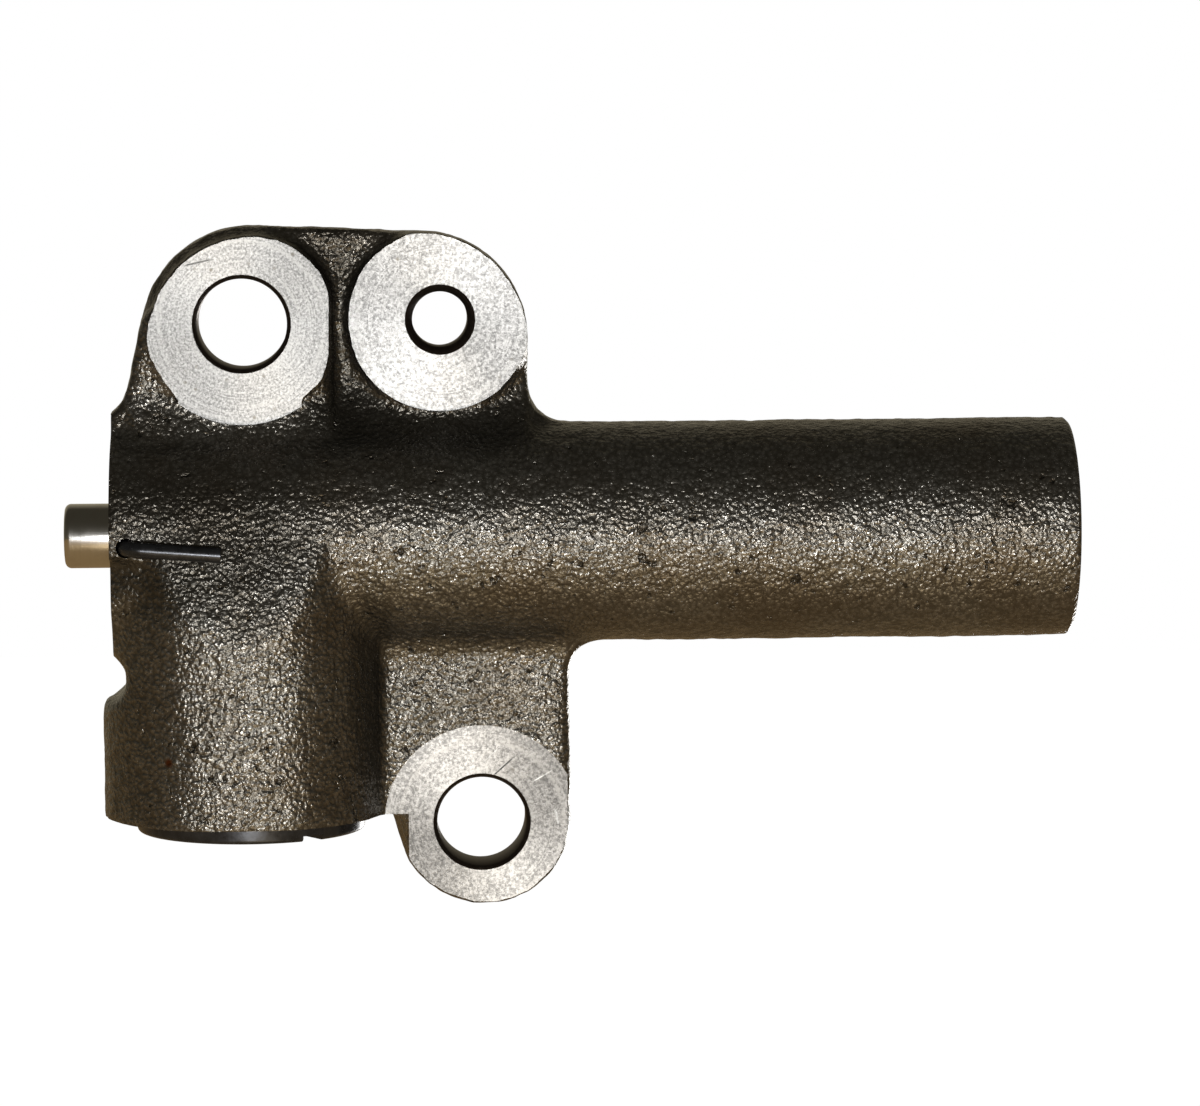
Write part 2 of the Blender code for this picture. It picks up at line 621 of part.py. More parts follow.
def add_wire(name, points, radius, fineness, material):
    """A round wire along a list of points, with closed ends."""
    curve = bpy.data.curves.new(name, "CURVE")
    curve.dimensions = "3D"
    curve.bevel_depth = radius
    curve.bevel_resolution = fineness
    curve.use_fill_caps = True
    spline = curve.splines.new("POLY")
    spline.points.add(len(points) - 1)
    for slot, point in zip(spline.points, points):
        slot.co = (*point, 1)
    curve.materials.append(material)
    obj = bpy.data.objects.new(name, curve)
    bpy.context.scene.collection.objects.link(obj)
    return obj


def coil_points(start, end, axis, centre, radius, wire, turns):
    """Points of a coil from start to end along an axis, with one closed turn at each end."""
    side = Vector((0, 1, 0))
    up = axis.cross(side)
    closed = 2.1 * wire
    middle_turns = turns - 2
    middle = (end - wire - closed) - (start + wire + closed)
    points = []
    for step in range(turns * COIL_ROUND + 1):
        turn = step / COIL_ROUND
        if turn <= 1:
            along = start + wire + closed * turn
        elif turn >= turns - 1:
            along = end - wire - closed * (turns - turn)
        else:
            along = start + wire + closed + middle * (turn - 1) / middle_turns
        angle = 2 * pi * turn
        points.append(Vector(centre) + axis * along
                      + (side * cos(angle) + up * sin(angle)) * radius)
    return points


def ring(name, start, end, inner, outer, material, axis=X_AXIS, origin=(0, 0, 0), steps=ROUND):
    profile = [(start, inner), (start, outer), (end, outer), (end, inner)]
    return add_object(name, turned(profile, axis, origin, steps), material)


def open_ring(obj, start, radius, opening):
    """Cuts a gap out of a ring about the barrel's axis, so that it can spring into place."""
    bm = bmesh.new()
    half = radius * sin(opening / 2)
    add_box_shape(bm, (start - PAST, -half, 0), (start + 2 * PAST, half, radius + PAST))
    cut(obj, make_cutter(obj.name + "_opening", bm))


def seal_start():
    return POCKET_START + SEAT


def bush_start():
    return seal_start() + SEAL_LENGTH + REST


def make_rod_seal(material):
    """A rubber lip seal: a flanged ring with a V groove behind its lip."""
    start = seal_start()
    end = start + SEAL_LENGTH
    inner, outer = ROD_RADIUS + FIT, POCKET_RADIUS - SEAT
    middle = (inner + outer) / 2
    profile = [(start, inner), (start, outer), (end, outer), (end, middle + SEAL_LIP),
               (end - SEAL_GROOVE_DEPTH, middle), (end, middle - SEAL_LIP), (end, inner)]
    return add_object("rod_seal", turned(profile), material)


def make_guide_bush(material):
    start = bush_start()
    return ring("rod_guide_bush", start, start + BUSH_LENGTH, ROD_RADIUS + FIT,
                POCKET_RADIUS - SEAT, material)


def make_circlip(material):
    """The circlip that holds the bush and the seal against the left wall."""
    start = BORE_START + REST
    outer = BORE_RADIUS + CIRCLIP_GROOVE - SEAT
    clip = ring("bush_circlip", start, start + CIRCLIP_THICKNESS, outer - CIRCLIP_WIDTH - SEAT,
                outer, material)
    open_ring(clip, start, outer, CIRCLIP_OPENING)
    return clip


def piston_front():
    """The piston's front face, which stops on the circlip when the rod is fully out."""
    return BORE_START + REST + CIRCLIP_THICKNESS + REST + ROD_TRAVEL


def piston_back():
    return piston_front() + PISTON_LENGTH


def wear_groove():
    end = piston_back() - WEAR_RING_BACK
    return end - WEAR_RING_LENGTH - 2 * SEAT, end


def make_piston(material, slide):
    """The piston, with the rod's socket, an oil passage and the check valve's cavity."""
    front, back = piston_front(), piston_back()
    outer = BORE_RADIUS - FIT
    neck = outer - PISTON_NECK
    groove_start, groove_end = wear_groove()
    groove = outer - WEAR_RING_THICKNESS - SEAT
    cavity = back - VALVE_CAVITY_DEPTH
    socket = front + ROD_SOCKET_DEPTH
    profile = [(front, ROD_RADIUS + SEAT), (front, neck), (front + PISTON_NECK_LENGTH, neck),
               (front + PISTON_NECK_LENGTH, outer), (groove_start, outer),
               (groove_start, groove), (groove_end, groove), (groove_end, outer),
               (back, outer), (back, VALVE_CAVITY_RADIUS), (cavity, VALVE_CAVITY_RADIUS),
               (cavity, OIL_PASSAGE_RADIUS), (socket, OIL_PASSAGE_RADIUS),
               (socket, ROD_RADIUS + SEAT)]
    piston = add_object("piston", turned(profile), material)
    bm = bmesh.new()
    hole_x = socket + (front + PISTON_NECK_LENGTH - socket) / 2
    add_rod_shape(bm, (hole_x, 0, -BORE_RADIUS - PAST), (hole_x, 0, BORE_RADIUS + PAST),
                  CROSS_HOLE_RADIUS, steps=12)
    cut(piston, make_cutter("piston_cross_hole", bm))
    piston.parent = slide
    return piston


def make_wear_ring(material, slide):
    start, _ = wear_groove()
    outer = BORE_RADIUS - WEAR_RING_FIT
    inner = BORE_RADIUS - FIT - WEAR_RING_THICKNESS
    wear = ring("piston_wear_ring", start + SEAT, start + SEAT + WEAR_RING_LENGTH, inner, outer,
                material)
    open_ring(wear, start, outer, WEAR_RING_OPENING)
    wear.parent = slide
    return wear


def valve_seat_start():
    return piston_back() - VALVE_CAVITY_DEPTH + SEAT


def make_valve_seat(material, slide):
    """The hard insert in the piston that the check ball closes."""
    start = valve_seat_start()
    end = start + VALVE_SEAT_LENGTH
    mouth = CHECK_BALL_RADIUS * sin(VALVE_SEAT_SLOPE) + FIT
    depth = mouth - OIL_PASSAGE_RADIUS
    profile = [(start, OIL_PASSAGE_RADIUS), (start, VALVE_CAVITY_RADIUS - SEAT),
               (end, VALVE_CAVITY_RADIUS - SEAT), (end, mouth + depth),
               (end - 2 * depth, OIL_PASSAGE_RADIUS)]
    seat = add_object("check_valve_seat", turned(profile, steps=SMALL_ROUND), material)
    seat.parent = slide
    return seat


def check_ball_x():
    """The ball's centre when it rests in the seat's cone, with a small clearance."""
    mouth = CHECK_BALL_RADIUS * sin(VALVE_SEAT_SLOPE) + FIT
    cone_point = valve_seat_start() + VALVE_SEAT_LENGTH - 2 * mouth + OIL_PASSAGE_RADIUS
    return cone_point + (CHECK_BALL_RADIUS + CHECK_BALL_FIT) / sin(VALVE_SEAT_SLOPE)


def make_check_ball(material, slide):
    bm = bmesh.new()
    bmesh.ops.create_icosphere(bm, subdivisions=2, radius=CHECK_BALL_RADIUS)
    ball = add_object("check_ball", bm, material, location=(check_ball_x(), 0, 0))
    ball.parent = slide
    return ball


def cage_start():
    return piston_back() + SEAT


def make_cage(material, slide):
    """A pressed cage: its crown holds the ball's spring, its flange the return spring."""
    start = cage_start()
    flange = start + CAGE_SHEET
    crown = start + CAGE_CROWN_HEIGHT
    inside = CAGE_CROWN_RADIUS - CAGE_SHEET
    profile = [(start, inside), (start, CAGE_FLANGE_RADIUS), (flange, CAGE_FLANGE_RADIUS),
               (flange, CAGE_CROWN_RADIUS), (crown, CAGE_CROWN_RADIUS), (crown, 0),
               (crown - CAGE_SHEET, 0), (crown - CAGE_SHEET, inside)]
    cage = add_object("check_ball_cage", turned(profile + profile[:1]), material)
    bm = bmesh.new()
    for side in (-1, 0, 1):
        place = side * CAGE_HOLE_SPACING
        add_rod_shape(bm, (crown - 2 * CAGE_SHEET, place, 0), (crown + PAST, place, 0),
                      CAGE_HOLE_RADIUS, steps=8)
    cut(cage, make_cutter("cage_holes", bm))
    cage.parent = slide
    return cage


def make_ball_spring(material, slide):
    start = check_ball_x() + BALL_SPRING_SEAT
    end = cage_start() + CAGE_CROWN_HEIGHT - CAGE_SHEET - SEAT
    points = coil_points(start, end, X_AXIS, (0, 0, 0), BALL_SPRING_RADIUS, BALL_SPRING_WIRE,
                         BALL_SPRING_TURNS)
    spring = add_wire("check_ball_spring", points, BALL_SPRING_WIRE, 1, material)
    spring.parent = slide
    return spring


def end_plug_start():
    return BARREL_RIGHT - END_PLUG_GAP - END_PLUG_LENGTH


def make_return_spring(material):
    start = cage_start() + CAGE_SHEET + REST
    end = end_plug_start() - REST
    points = coil_points(start, end, X_AXIS, (0, 0, 0), SPRING_RADIUS, SPRING_WIRE,
                         SPRING_TURNS)
    return add_wire("return_spring", points, SPRING_WIRE, 1, material)


def o_ring(name, place, inner, material, axis=X_AXIS, origin=(0, 0, 0)):
    """A rubber ring of round section that lies in its groove."""
    middle = inner + O_RING_CORD
    steps = 8
    profile = [(place + O_RING_CORD * cos(2 * pi * i / steps),
                middle + O_RING_CORD * sin(2 * pi * i / steps)) for i in range(steps)]
    return add_object(name, turned(profile, axis, origin, steps=24), material)


def make_end_plug(material):
    """The plug that closes the bore, with a spigot that centres the return spring."""
    start = end_plug_start()
    end = start + END_PLUG_LENGTH
    outer = BORE_RADIUS - SEAT
    spigot = SPRING_RADIUS - SPRING_WIRE - REST
    groove_start = end_plug_middle() - O_RING_CORD - SEAT
    groove_end = end_plug_middle() + O_RING_CORD + SEAT
    groove = end_plug_groove()
    recess = end - END_PLUG_RECESS_DEPTH
    profile = [(start - END_PLUG_SPIGOT, 0), (start - END_PLUG_SPIGOT, spigot - ROD_EDGE),
               (start - END_PLUG_SPIGOT + ROD_EDGE, spigot), (start, spigot), (start, outer),
               (groove_start, outer), (groove_start, groove), (groove_end, groove),
               (groove_end, outer), (end, outer), (end, END_PLUG_RECESS),
               (recess, END_PLUG_RECESS), (recess, 0)]
    return add_object("end_plug", turned(profile), material)


def end_plug_middle():
    return end_plug_start() + END_PLUG_LENGTH / 2


def end_plug_groove():
    return BORE_RADIUS - FIT - 2 * O_RING_CORD - SEAT


def make_end_plug_o_ring(material):
    return o_ring("end_plug_o_ring", end_plug_middle(), end_plug_groove() + SEAT, material)


def make_end_snap_ring(material):
    start, _ = end_ring_groove()
    outer = BORE_RADIUS + CIRCLIP_GROOVE - SEAT
    snap = ring("end_snap_ring", start + SEAT, start + SEAT + SNAP_RING_THICKNESS,
                outer - SNAP_RING_WIDTH, outer, material)
    open_ring(snap, start, outer, CIRCLIP_OPENING)
    return snap


def plug_top():
    return PLUG_BORE_TOP - REST


def plug_bottom():
    return RESERVOIR_BOTTOM - PLUG_STANDOUT


def plug_radius():
    return plug_bore_radius() - REST


def plug_groove():
    return plug_bore_radius() - FIT - 2 * O_RING_CORD - SEAT


def plug_ring_z():
    return plug_top() - PLUG_GROOVE_DROP


def make_reservoir_plug(material):
    """The black plug under the reservoir, with a driver slot across its face."""
    top, bottom = plug_top(), plug_bottom()
    ring_z = plug_ring_z()
    half_groove = O_RING_CORD + SEAT
    outer = plug_radius()
    profile = [(top - PLUG_RECESS_DEPTH, 0), (top - PLUG_RECESS_DEPTH, PLUG_RECESS_RADIUS),
               (top, PLUG_RECESS_RADIUS), (top, outer),
               (ring_z + half_groove, outer), (ring_z + half_groove, plug_groove()),
               (ring_z - half_groove, plug_groove()), (ring_z - half_groove, outer),
               (bottom + PLUG_CHAMFER, outer), (bottom, outer - PLUG_CHAMFER),
               (bottom, 0)]
    plug = add_object("reservoir_plug", turned(profile, Z_AXIS, (CHAMBER_X, 0, 0)), material)
    bm = bmesh.new()
    add_box_shape(bm, (-outer - PAST, -PLUG_SLOT_WIDTH / 2, bottom - PAST),
                  (outer + PAST, PLUG_SLOT_WIDTH / 2, bottom + PLUG_SLOT_DEPTH))
    place = Matrix.Translation((CHAMBER_X, 0, 0)) @ Matrix.Rotation(PLUG_SLOT_TURN, 4, "Z")
    bmesh.ops.transform(bm, matrix=place, verts=bm.verts)
    cut(plug, make_cutter("plug_slot_cutter", bm))
    return plug


def make_plug_o_ring(material):
    return o_ring("reservoir_plug_o_ring", plug_ring_z(), plug_groove() + SEAT, material, Z_AXIS,
                  (CHAMBER_X, 0, 0))


def plunger_ring_z():
    return PLUNGER_TOP - PLUNGER_LENGTH / 2


def plunger_groove():
    return chamber_radius() - FIT - 2 * O_RING_CORD - SEAT


def make_plunger(material, slide):
    """The reservoir's plunger, a cup open below with a groove for its seal."""
    top, bottom = PLUNGER_TOP, PLUNGER_TOP - PLUNGER_LENGTH
    outer = chamber_radius() - FIT
    ring_z = plunger_ring_z()
    half_groove = O_RING_CORD + SEAT
    inside = PLUNGER_SPRING_RADIUS + PLUNGER_SPRING_WIRE + REST
    roof = top - PLUNGER_SKIRT
    profile = [(top, 0), (top, outer), (ring_z + half_groove, outer),
               (ring_z + half_groove, plunger_groove()),
               (ring_z - half_groove, plunger_groove()), (ring_z - half_groove, outer),
               (bottom, outer), (bottom, inside), (roof, inside), (roof, 0)]
    plunger = add_object("reservoir_plunger", turned(profile, Z_AXIS, (CHAMBER_X, 0, 0)),
                         material)
    plunger.parent = slide
    return plunger


def make_plunger_seal(material, slide):
    seal = o_ring("plunger_seal", plunger_ring_z(), plunger_groove() + SEAT, material, Z_AXIS,
                  (CHAMBER_X, 0, 0))
    seal.parent = slide
    return seal


def make_plunger_spring(material):
    start = plug_top() - PLUG_RECESS_DEPTH + REST
    end = PLUNGER_TOP - PLUNGER_SKIRT - REST
    points = coil_points(start, end, Z_AXIS, (CHAMBER_X, 0, 0), PLUNGER_SPRING_RADIUS,
                         PLUNGER_SPRING_WIRE, PLUNGER_SPRING_TURNS)
    return add_wire("plunger_spring", points, PLUNGER_SPRING_WIRE, 1, material)


def add_empty(name):
    empty = bpy.data.objects.new(name, None)
    bpy.context.scene.collection.objects.link(empty)
    return empty


def build():
    clear_scene()
    iron = make_material("cast_iron", (0.13, 0.115, 0.1), 0.6, 0.8)
    ground = make_material("ground_steel", (0.62, 0.61, 0.59), 0.22, 1.0)
    black = make_material("black_oxide", (0.02, 0.021, 0.024), 0.3, 0.9)
    spring_steel = make_material("spring_steel", (0.3, 0.3, 0.31), 0.35, 1.0)
    turned_steel = make_material("turned_steel", (0.45, 0.45, 0.46), 0.35, 1.0)
    rubber = make_material("seal_rubber", (0.02, 0.02, 0.02), 0.7, 0.0)
    bronze = make_material("guide_bronze", (0.48, 0.33, 0.17), 0.4, 1.0)
    ring_plastic = make_material("ring_plastic", (0.72, 0.69, 0.62), 0.5, 0.0)

    rod_slide = add_empty("rod_slide")
    pin_slide = add_empty("stopper_pin_pull")
    ball_slide = add_empty("check_ball_lift")
    ball_slide.parent = rod_slide
    plunger_slide = add_empty("reservoir_plunger_slide")

    make_body(iron)
    make_rod_seal(rubber)
    make_guide_bush(bronze)
    make_circlip(spring_steel)
    make_rod(ground, rod_slide)
    make_piston(turned_steel, rod_slide)
    make_wear_ring(ring_plastic, rod_slide)
    make_valve_seat(ground, rod_slide)
    make_check_ball(ground, ball_slide)
    make_ball_spring(spring_steel, rod_slide)
    make_cage(turned_steel, rod_slide)
    make_return_spring(spring_steel)
    make_end_plug(turned_steel)
    make_end_plug_o_ring(rubber)
    make_end_snap_ring(spring_steel)
    make_reservoir_plug(black)
    make_plug_o_ring(rubber)
    make_plunger(turned_steel, plunger_slide)
    make_plunger_seal(rubber, plunger_slide)
    make_plunger_spring(spring_steel)
    make_stopper_pin(black, pin_slide)


build()
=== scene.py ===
"""Looks of a hydraulic belt tensioner: a sand-cast iron body with machined faces and bores, a
ground push rod held back by a black wire pin, and a black plug under the oil reservoir.

All lengths are in metres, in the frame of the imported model: +X along the barrel from the rod's
end face, +Y into the engine, +Z up.
"""
from math import acos, atan2, cos, degrees, hypot, inf, pi, radians, sin, sqrt, tan

import bmesh
import bpy
import numpy as np
from mathutils import Matrix, Vector, noise


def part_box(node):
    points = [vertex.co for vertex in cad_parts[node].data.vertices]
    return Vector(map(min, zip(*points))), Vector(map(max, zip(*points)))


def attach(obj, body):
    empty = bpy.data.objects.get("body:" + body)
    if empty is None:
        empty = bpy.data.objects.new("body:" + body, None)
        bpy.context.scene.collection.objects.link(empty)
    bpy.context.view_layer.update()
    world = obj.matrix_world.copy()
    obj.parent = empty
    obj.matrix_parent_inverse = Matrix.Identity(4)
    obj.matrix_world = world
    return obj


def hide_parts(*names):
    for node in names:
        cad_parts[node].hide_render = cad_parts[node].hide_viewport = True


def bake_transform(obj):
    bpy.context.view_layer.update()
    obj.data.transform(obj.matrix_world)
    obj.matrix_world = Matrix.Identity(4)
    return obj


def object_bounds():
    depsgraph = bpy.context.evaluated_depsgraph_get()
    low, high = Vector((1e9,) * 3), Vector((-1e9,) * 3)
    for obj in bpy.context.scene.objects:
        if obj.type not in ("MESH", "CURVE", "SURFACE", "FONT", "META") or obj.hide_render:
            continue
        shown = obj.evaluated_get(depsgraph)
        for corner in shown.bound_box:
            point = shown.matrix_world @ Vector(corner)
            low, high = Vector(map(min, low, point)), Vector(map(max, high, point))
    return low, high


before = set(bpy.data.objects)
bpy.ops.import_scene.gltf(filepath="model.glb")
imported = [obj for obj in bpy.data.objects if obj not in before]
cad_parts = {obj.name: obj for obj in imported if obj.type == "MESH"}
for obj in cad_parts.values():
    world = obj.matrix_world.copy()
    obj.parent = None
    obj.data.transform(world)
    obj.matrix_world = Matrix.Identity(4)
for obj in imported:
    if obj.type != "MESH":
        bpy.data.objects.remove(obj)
cad_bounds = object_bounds()

# Studio and camera. The camera stands where the photograph was taken from, a little to the
# rod's side and above the barrel. Floor and room are plain white to it, and a lamp behind the
# part lights its back and right end without showing on its front.
PHOTO_WIDTH = 1200
SENSOR_WIDTH = 36.0
VIEW_AZIMUTH = radians(-2.76)
VIEW_ELEVATION = radians(5.26)
VIEW_ROLL = radians(0.36)
VIEW_DISTANCE = 0.58
VIEW_AIM = Vector((0.06560, 0.0, -0.00278))
PIXELS_PER_METRE = 8109.0          # of the photograph, at the aim point

camera_data = bpy.data.cameras.new("photo_camera")
camera_data.sensor_width = SENSOR_WIDTH
camera_data.lens = SENSOR_WIDTH * PIXELS_PER_METRE * VIEW_DISTANCE / PHOTO_WIDTH
camera_data.clip_start = 0.01
camera_data.clip_end = 50.0
camera = bpy.data.objects.new("photo_camera", camera_data)
bpy.context.scene.collection.objects.link(camera)
away = Vector((sin(VIEW_AZIMUTH) * cos(VIEW_ELEVATION),
               -cos(VIEW_AZIMUTH) * cos(VIEW_ELEVATION), sin(VIEW_ELEVATION)))
turn_camera = away.to_track_quat("Z", "Y").to_matrix().to_4x4()
camera.matrix_world = (Matrix.Translation(VIEW_AIM + away * VIEW_DISTANCE) @ turn_camera
                       @ Matrix.Rotation(-VIEW_ROLL, 4, "Z"))
bpy.context.scene.camera = camera
bpy.context.scene.view_settings.view_transform = "Standard"

FLOOR_DROP = 0.42                  # from the part's lowest point to the floor
FLOOR_RADIUS = 4.0
FLOOR_COLOR = (0.9, 0.85, 0.78, 1.0)
FLOOR_GLOW = 1.1
FLOOR_GLOW_SHARE = 0.92            # the rest is lit, and keeps the part's shadow
REFLECTED_FLOOR = (0.25, 0.163, 0.072, 1.0)    # the floor as metal shows it
WHITE = (1.0, 1.0, 1.0, 1.0)
ROOM_COLOR = (1.04, 0.92, 0.66, 1.0)
ROOM_ABOVE = (0.0, 0.6, 0.08, 0.042)    # from and to, along Z, and the room's light at each
ROOM_BEHIND = (0.5, 1.0, 0.0, 0.3)      # the same along Y

# Name, direction from the part's middle, distance, size, watts and colour of each lamp.
LAMPS = (("key_lamp", (-0.03, -1.0, -0.08), 1.6, 0.14, 11.5, (1, 1, 1)),
         ("low_fill_lamp", (0.08, -1.0, -0.62), 0.5, 0.3, 0.32, (1.02, 0.8, 0.48)),
         ("back_lamp", (0.5, 0.9, -0.3), 1.2, 0.5, 5.0, (1, 1, 1)))


class Shader:
    """A material's node tree, with short calls for the nodes used here."""

    def __init__(self, name):
        self.material = bpy.data.materials.new(name)
        self.material.use_nodes = True
        self.tree = self.material.node_tree
        self.principled = self.tree.nodes["Principled BSDF"]
        self.output = self.tree.nodes["Material Output"]

    def add(self, kind, *links, **settings):
        """Adds a node, sets its properties and fills its inputs in order."""
        made = self.tree.nodes.new("ShaderNode" + kind)
        for key, value in settings.items():
            setattr(made, key, value)
        for slot, value in enumerate(links):
            self.fill(made.inputs[slot], value)
        return made

    def fill(self, socket, value):
        """Links a socket to value where that is a socket, and otherwise sets it."""
        if isinstance(value, bpy.types.NodeSocket):
            self.tree.links.new(value, socket)
        elif value is not None:
            socket.default_value = value

    def math(self, operation, *values):
        return self.add("Math", *values, operation=operation).outputs[0]

    def ramp(self, value, low, high, start=0.0, end=1.0):
        """Maps value from low..high to start..end, without going past either."""
        made = self.add("MapRange", value, low, high, start, end)
        return made.outputs[0]

    def mix(self, factor, first, second):
        """Mixes two colours, by the colour sockets of a Mix node."""
        made = self.add("Mix", data_type="RGBA")
        self.fill(made.inputs[0], factor)
        self.fill(made.inputs[6], first)
        self.fill(made.inputs[7], second)
        return made.outputs[2]

    def noise(self, vector, scale, detail, roughness=0.5):
        made = self.add("TexNoise", vector)
        made.inputs["Scale"].default_value = scale
        made.inputs["Detail"].default_value = detail
        made.inputs["Roughness"].default_value = roughness
        return made.outputs[0]

    def cells(self, vector, scale):
        made = self.add("TexVoronoi", vector)
        made.inputs["Scale"].default_value = scale
        return made.outputs[0]

    def place(self):
        return self.add("TexCoord").outputs["Object"]

    def bump(self, height, distance, normal=None):
        made = self.add("Bump")
        self.fill(made.inputs["Height"], height)
        made.inputs["Distance"].default_value = distance
        self.fill(made.inputs["Normal"], normal)
        return made.outputs[0]

    def finish(self, color, roughness, metallic, normal):
        self.fill(self.principled.inputs["Base Color"], color)
        self.fill(self.principled.inputs["Roughness"], roughness)
        self.fill(self.principled.inputs["Metallic"], metallic)
        self.fill(self.principled.inputs["Normal"], normal)
        return self.material


def white_stage_material():
    """White to the camera. Metal shows it dimmer and warmer, as the photo's room was."""
    shader = Shader("white_stage")
    rays = shader.add("LightPath")
    direct = shader.math("MAXIMUM", rays.outputs["Is Camera Ray"],
                         rays.outputs["Is Transmission Ray"])
    seen = shader.math("MAXIMUM", direct, rays.outputs["Is Glossy Ray"])
    tone = shader.mix(direct, REFLECTED_FLOOR, WHITE)
    lit = shader.add("BsdfDiffuse", FLOOR_COLOR)
    glow = shader.add("Emission", tone, FLOOR_GLOW)
    share = shader.math("MULTIPLY", seen, FLOOR_GLOW_SHARE)
    mixed = shader.add("MixShader", share, lit.outputs[0], glow.outputs[0])
    shader.tree.links.new(mixed.outputs[0], shader.output.inputs["Surface"])
    return shader.material


def add_stage():
    """A round floor, low enough that the part's shadow on it is soft."""
    stage = bmesh.new()
    place = Matrix.Translation((VIEW_AIM.x, 0, cad_bounds[0].z - FLOOR_DROP))
    bmesh.ops.create_circle(stage, cap_ends=True, segments=64, radius=FLOOR_RADIUS, matrix=place)
    mesh = bpy.data.meshes.new("floor")
    stage.to_mesh(mesh)
    stage.free()
    mesh.materials.append(white_stage_material())
    floor = bpy.data.objects.new("floor", mesh)
    bpy.context.scene.collection.objects.link(floor)


def add_lamp(name, direction, distance, size, watts, color):
    """A round area lamp that faces the part's middle."""
    data = bpy.data.lights.new(name, "AREA")
    data.shape = "DISK"
    data.size = size
    data.energy = watts
    data.color = color
    lamp = bpy.data.objects.new(name, data)
    toward = Vector(direction).normalized()
    lamp.matrix_world = (Matrix.Translation(VIEW_AIM + toward * distance)
                         @ toward.to_track_quat("Z", "Y").to_matrix().to_4x4())
    bpy.context.scene.collection.objects.link(lamp)


def set_world():
    """White to the camera; otherwise a dark room, lighter behind the part."""
    world = bpy.data.worlds.new("studio")
    bpy.context.scene.world = world
    world.use_nodes = True
    tree = world.node_tree
    tree.nodes.clear()
    add, link = tree.nodes.new, tree.links.new
    rays, place = add("ShaderNodeLightPath"), add("ShaderNodeTexCoord")
    split = add("ShaderNodeSeparateXYZ")
    link(place.outputs["Generated"], split.inputs[0])
    strength = add("ShaderNodeMath")
    strength.operation = "ADD"
    for slot, axis, span in ((0, "Z", ROOM_ABOVE), (1, "Y", ROOM_BEHIND)):
        ramp = add("ShaderNodeMapRange")
        link(split.outputs[axis], ramp.inputs["Value"])
        for name, value in zip(("From Min", "From Max", "To Min", "To Max"), span):
            ramp.inputs[name].default_value = value
        link(ramp.outputs[0], strength.inputs[slot])
    room, white = add("ShaderNodeBackground"), add("ShaderNodeBackground")
    room.inputs["Color"].default_value = ROOM_COLOR
    link(strength.outputs[0], room.inputs["Strength"])
    white.inputs["Color"].default_value = WHITE
    mixed, out = add("ShaderNodeMixShader"), add("ShaderNodeOutputWorld")
    link(rays.outputs["Is Camera Ray"], mixed.inputs[0])
    link(room.outputs[0], mixed.inputs[1])
    link(white.outputs[0], mixed.inputs[2])
    link(mixed.outputs[0], out.inputs[0])


add_stage()
set_world()
for lamp in LAMPS:
    add_lamp(*lamp)

# Body. One iron casting, sand cast with a rough skin and soft fillets, then milled and bored:
# bright spot faces round the bolt holes, a flat left end, a flat bottom under the reservoir and
# a stepped bore along the barrel. The skin's grain is real relief, with finer grain as bump.
MM = 0.001

# Barrel, with its stepped bore.
BARREL_RADIUS = 13.5 * MM
BARREL_LEFT = 6.0 * MM
BARREL_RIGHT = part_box("body")[1].x
LEFT_FACE_RADIUS = 15.5 * MM
END_CHAMFER = 0.5 * MM
BORE_RADIUS = 9.0 * MM
BORE_CHAMFER = 0.6 * MM
BORE_START = 20.2 * MM
POCKET_RADIUS = 8.0 * MM
POCKET_START = 10.0 * MM
ROD_HOLE_RADIUS = 4.2 * MM
RING_GROOVE_RADIUS = 9.9 * MM
RING_GROOVE = (120.2 * MM, 121.7 * MM)

# Reservoir, with its sloped shoulder, its chamber and the notch at its left.
RESERVOIR_X = 21.6 * MM
RESERVOIR_RADIUS = 17.2 * MM
RESERVOIR_BOTTOM = -34.4 * MM
RESERVOIR_FRONT = 16.5 * MM
RESERVOIR_BACK = 16.1 * MM
CROWN_RADIUS = 30.0 * MM
SHOULDER_TOP = 4.5 * MM
SHOULDER_BOTTOM = -11.7 * MM
CHAMBER_X = 22.3 * MM
CHAMBER_RADIUS = 13.0 * MM
CHAMBER_TOP = -12.6 * MM
PLUG_BORE_RADIUS = 14.3 * MM
PLUG_BORE_TOP = -27.9 * MM
PORT_RADIUS = 2.0 * MM
NOTCH_X = 4.6 * MM
NOTCH_Z = -16.9 * MM
NOTCH_RADIUS = 3.1 * MM

# Upper plate, with a pad round each of its two holes. Holes are (x, z), and the stock is what
# milling takes off a cast face.
MOUNTING_Y = 4.2 * MM
PLATE_FRONT = 1.9 * MM
PLATE_BACK = 3.7 * MM
BOLT_HOLE_RADIUS = 5.5 * MM
BOLT_CHAMFER = 0.5 * MM
CAST_STOCK = 0.7 * MM
PAD_STOCK = 0.5 * MM
UPPER_LEFT_HOLE = (22.0 * MM, 26.0 * MM)
UPPER_LEFT_SHIFT = (1.1 * MM, -1.5 * MM)
UPPER_LEFT_CORNER = 13.4 * MM
UPPER_LEFT_FACE_Y = -5.0 * MM
UPPER_LEFT_FACE_RADIUS = 12.3 * MM
UPPER_LEFT_PAD_RADIUS = 11.6 * MM
UPPER_LEFT_PAD_EDGE = 10.9 * MM
UPPER_LEFT_RIM = 1.0 * MM
UPPER_LEFT_FOOT_Y = -4.55 * MM
FOOT_WEDGE_LEFT = 8.5 * MM
FOOT_WEDGE = ((-4.4 * MM, 17.0 * MM), (-6.4 * MM, 11.9 * MM),     # (y, z) of its corners
              (0.0, 10.0 * MM), (0.0, 17.0 * MM))
UPPER_RIGHT_HOLE = (46.1 * MM, 26.3 * MM)
UPPER_RIGHT_SHIFT = (-2.3 * MM, -2.3 * MM)
UPPER_RIGHT_CORNER = 13.0 * MM
UPPER_RIGHT_PAD_RADIUS = 11.3 * MM
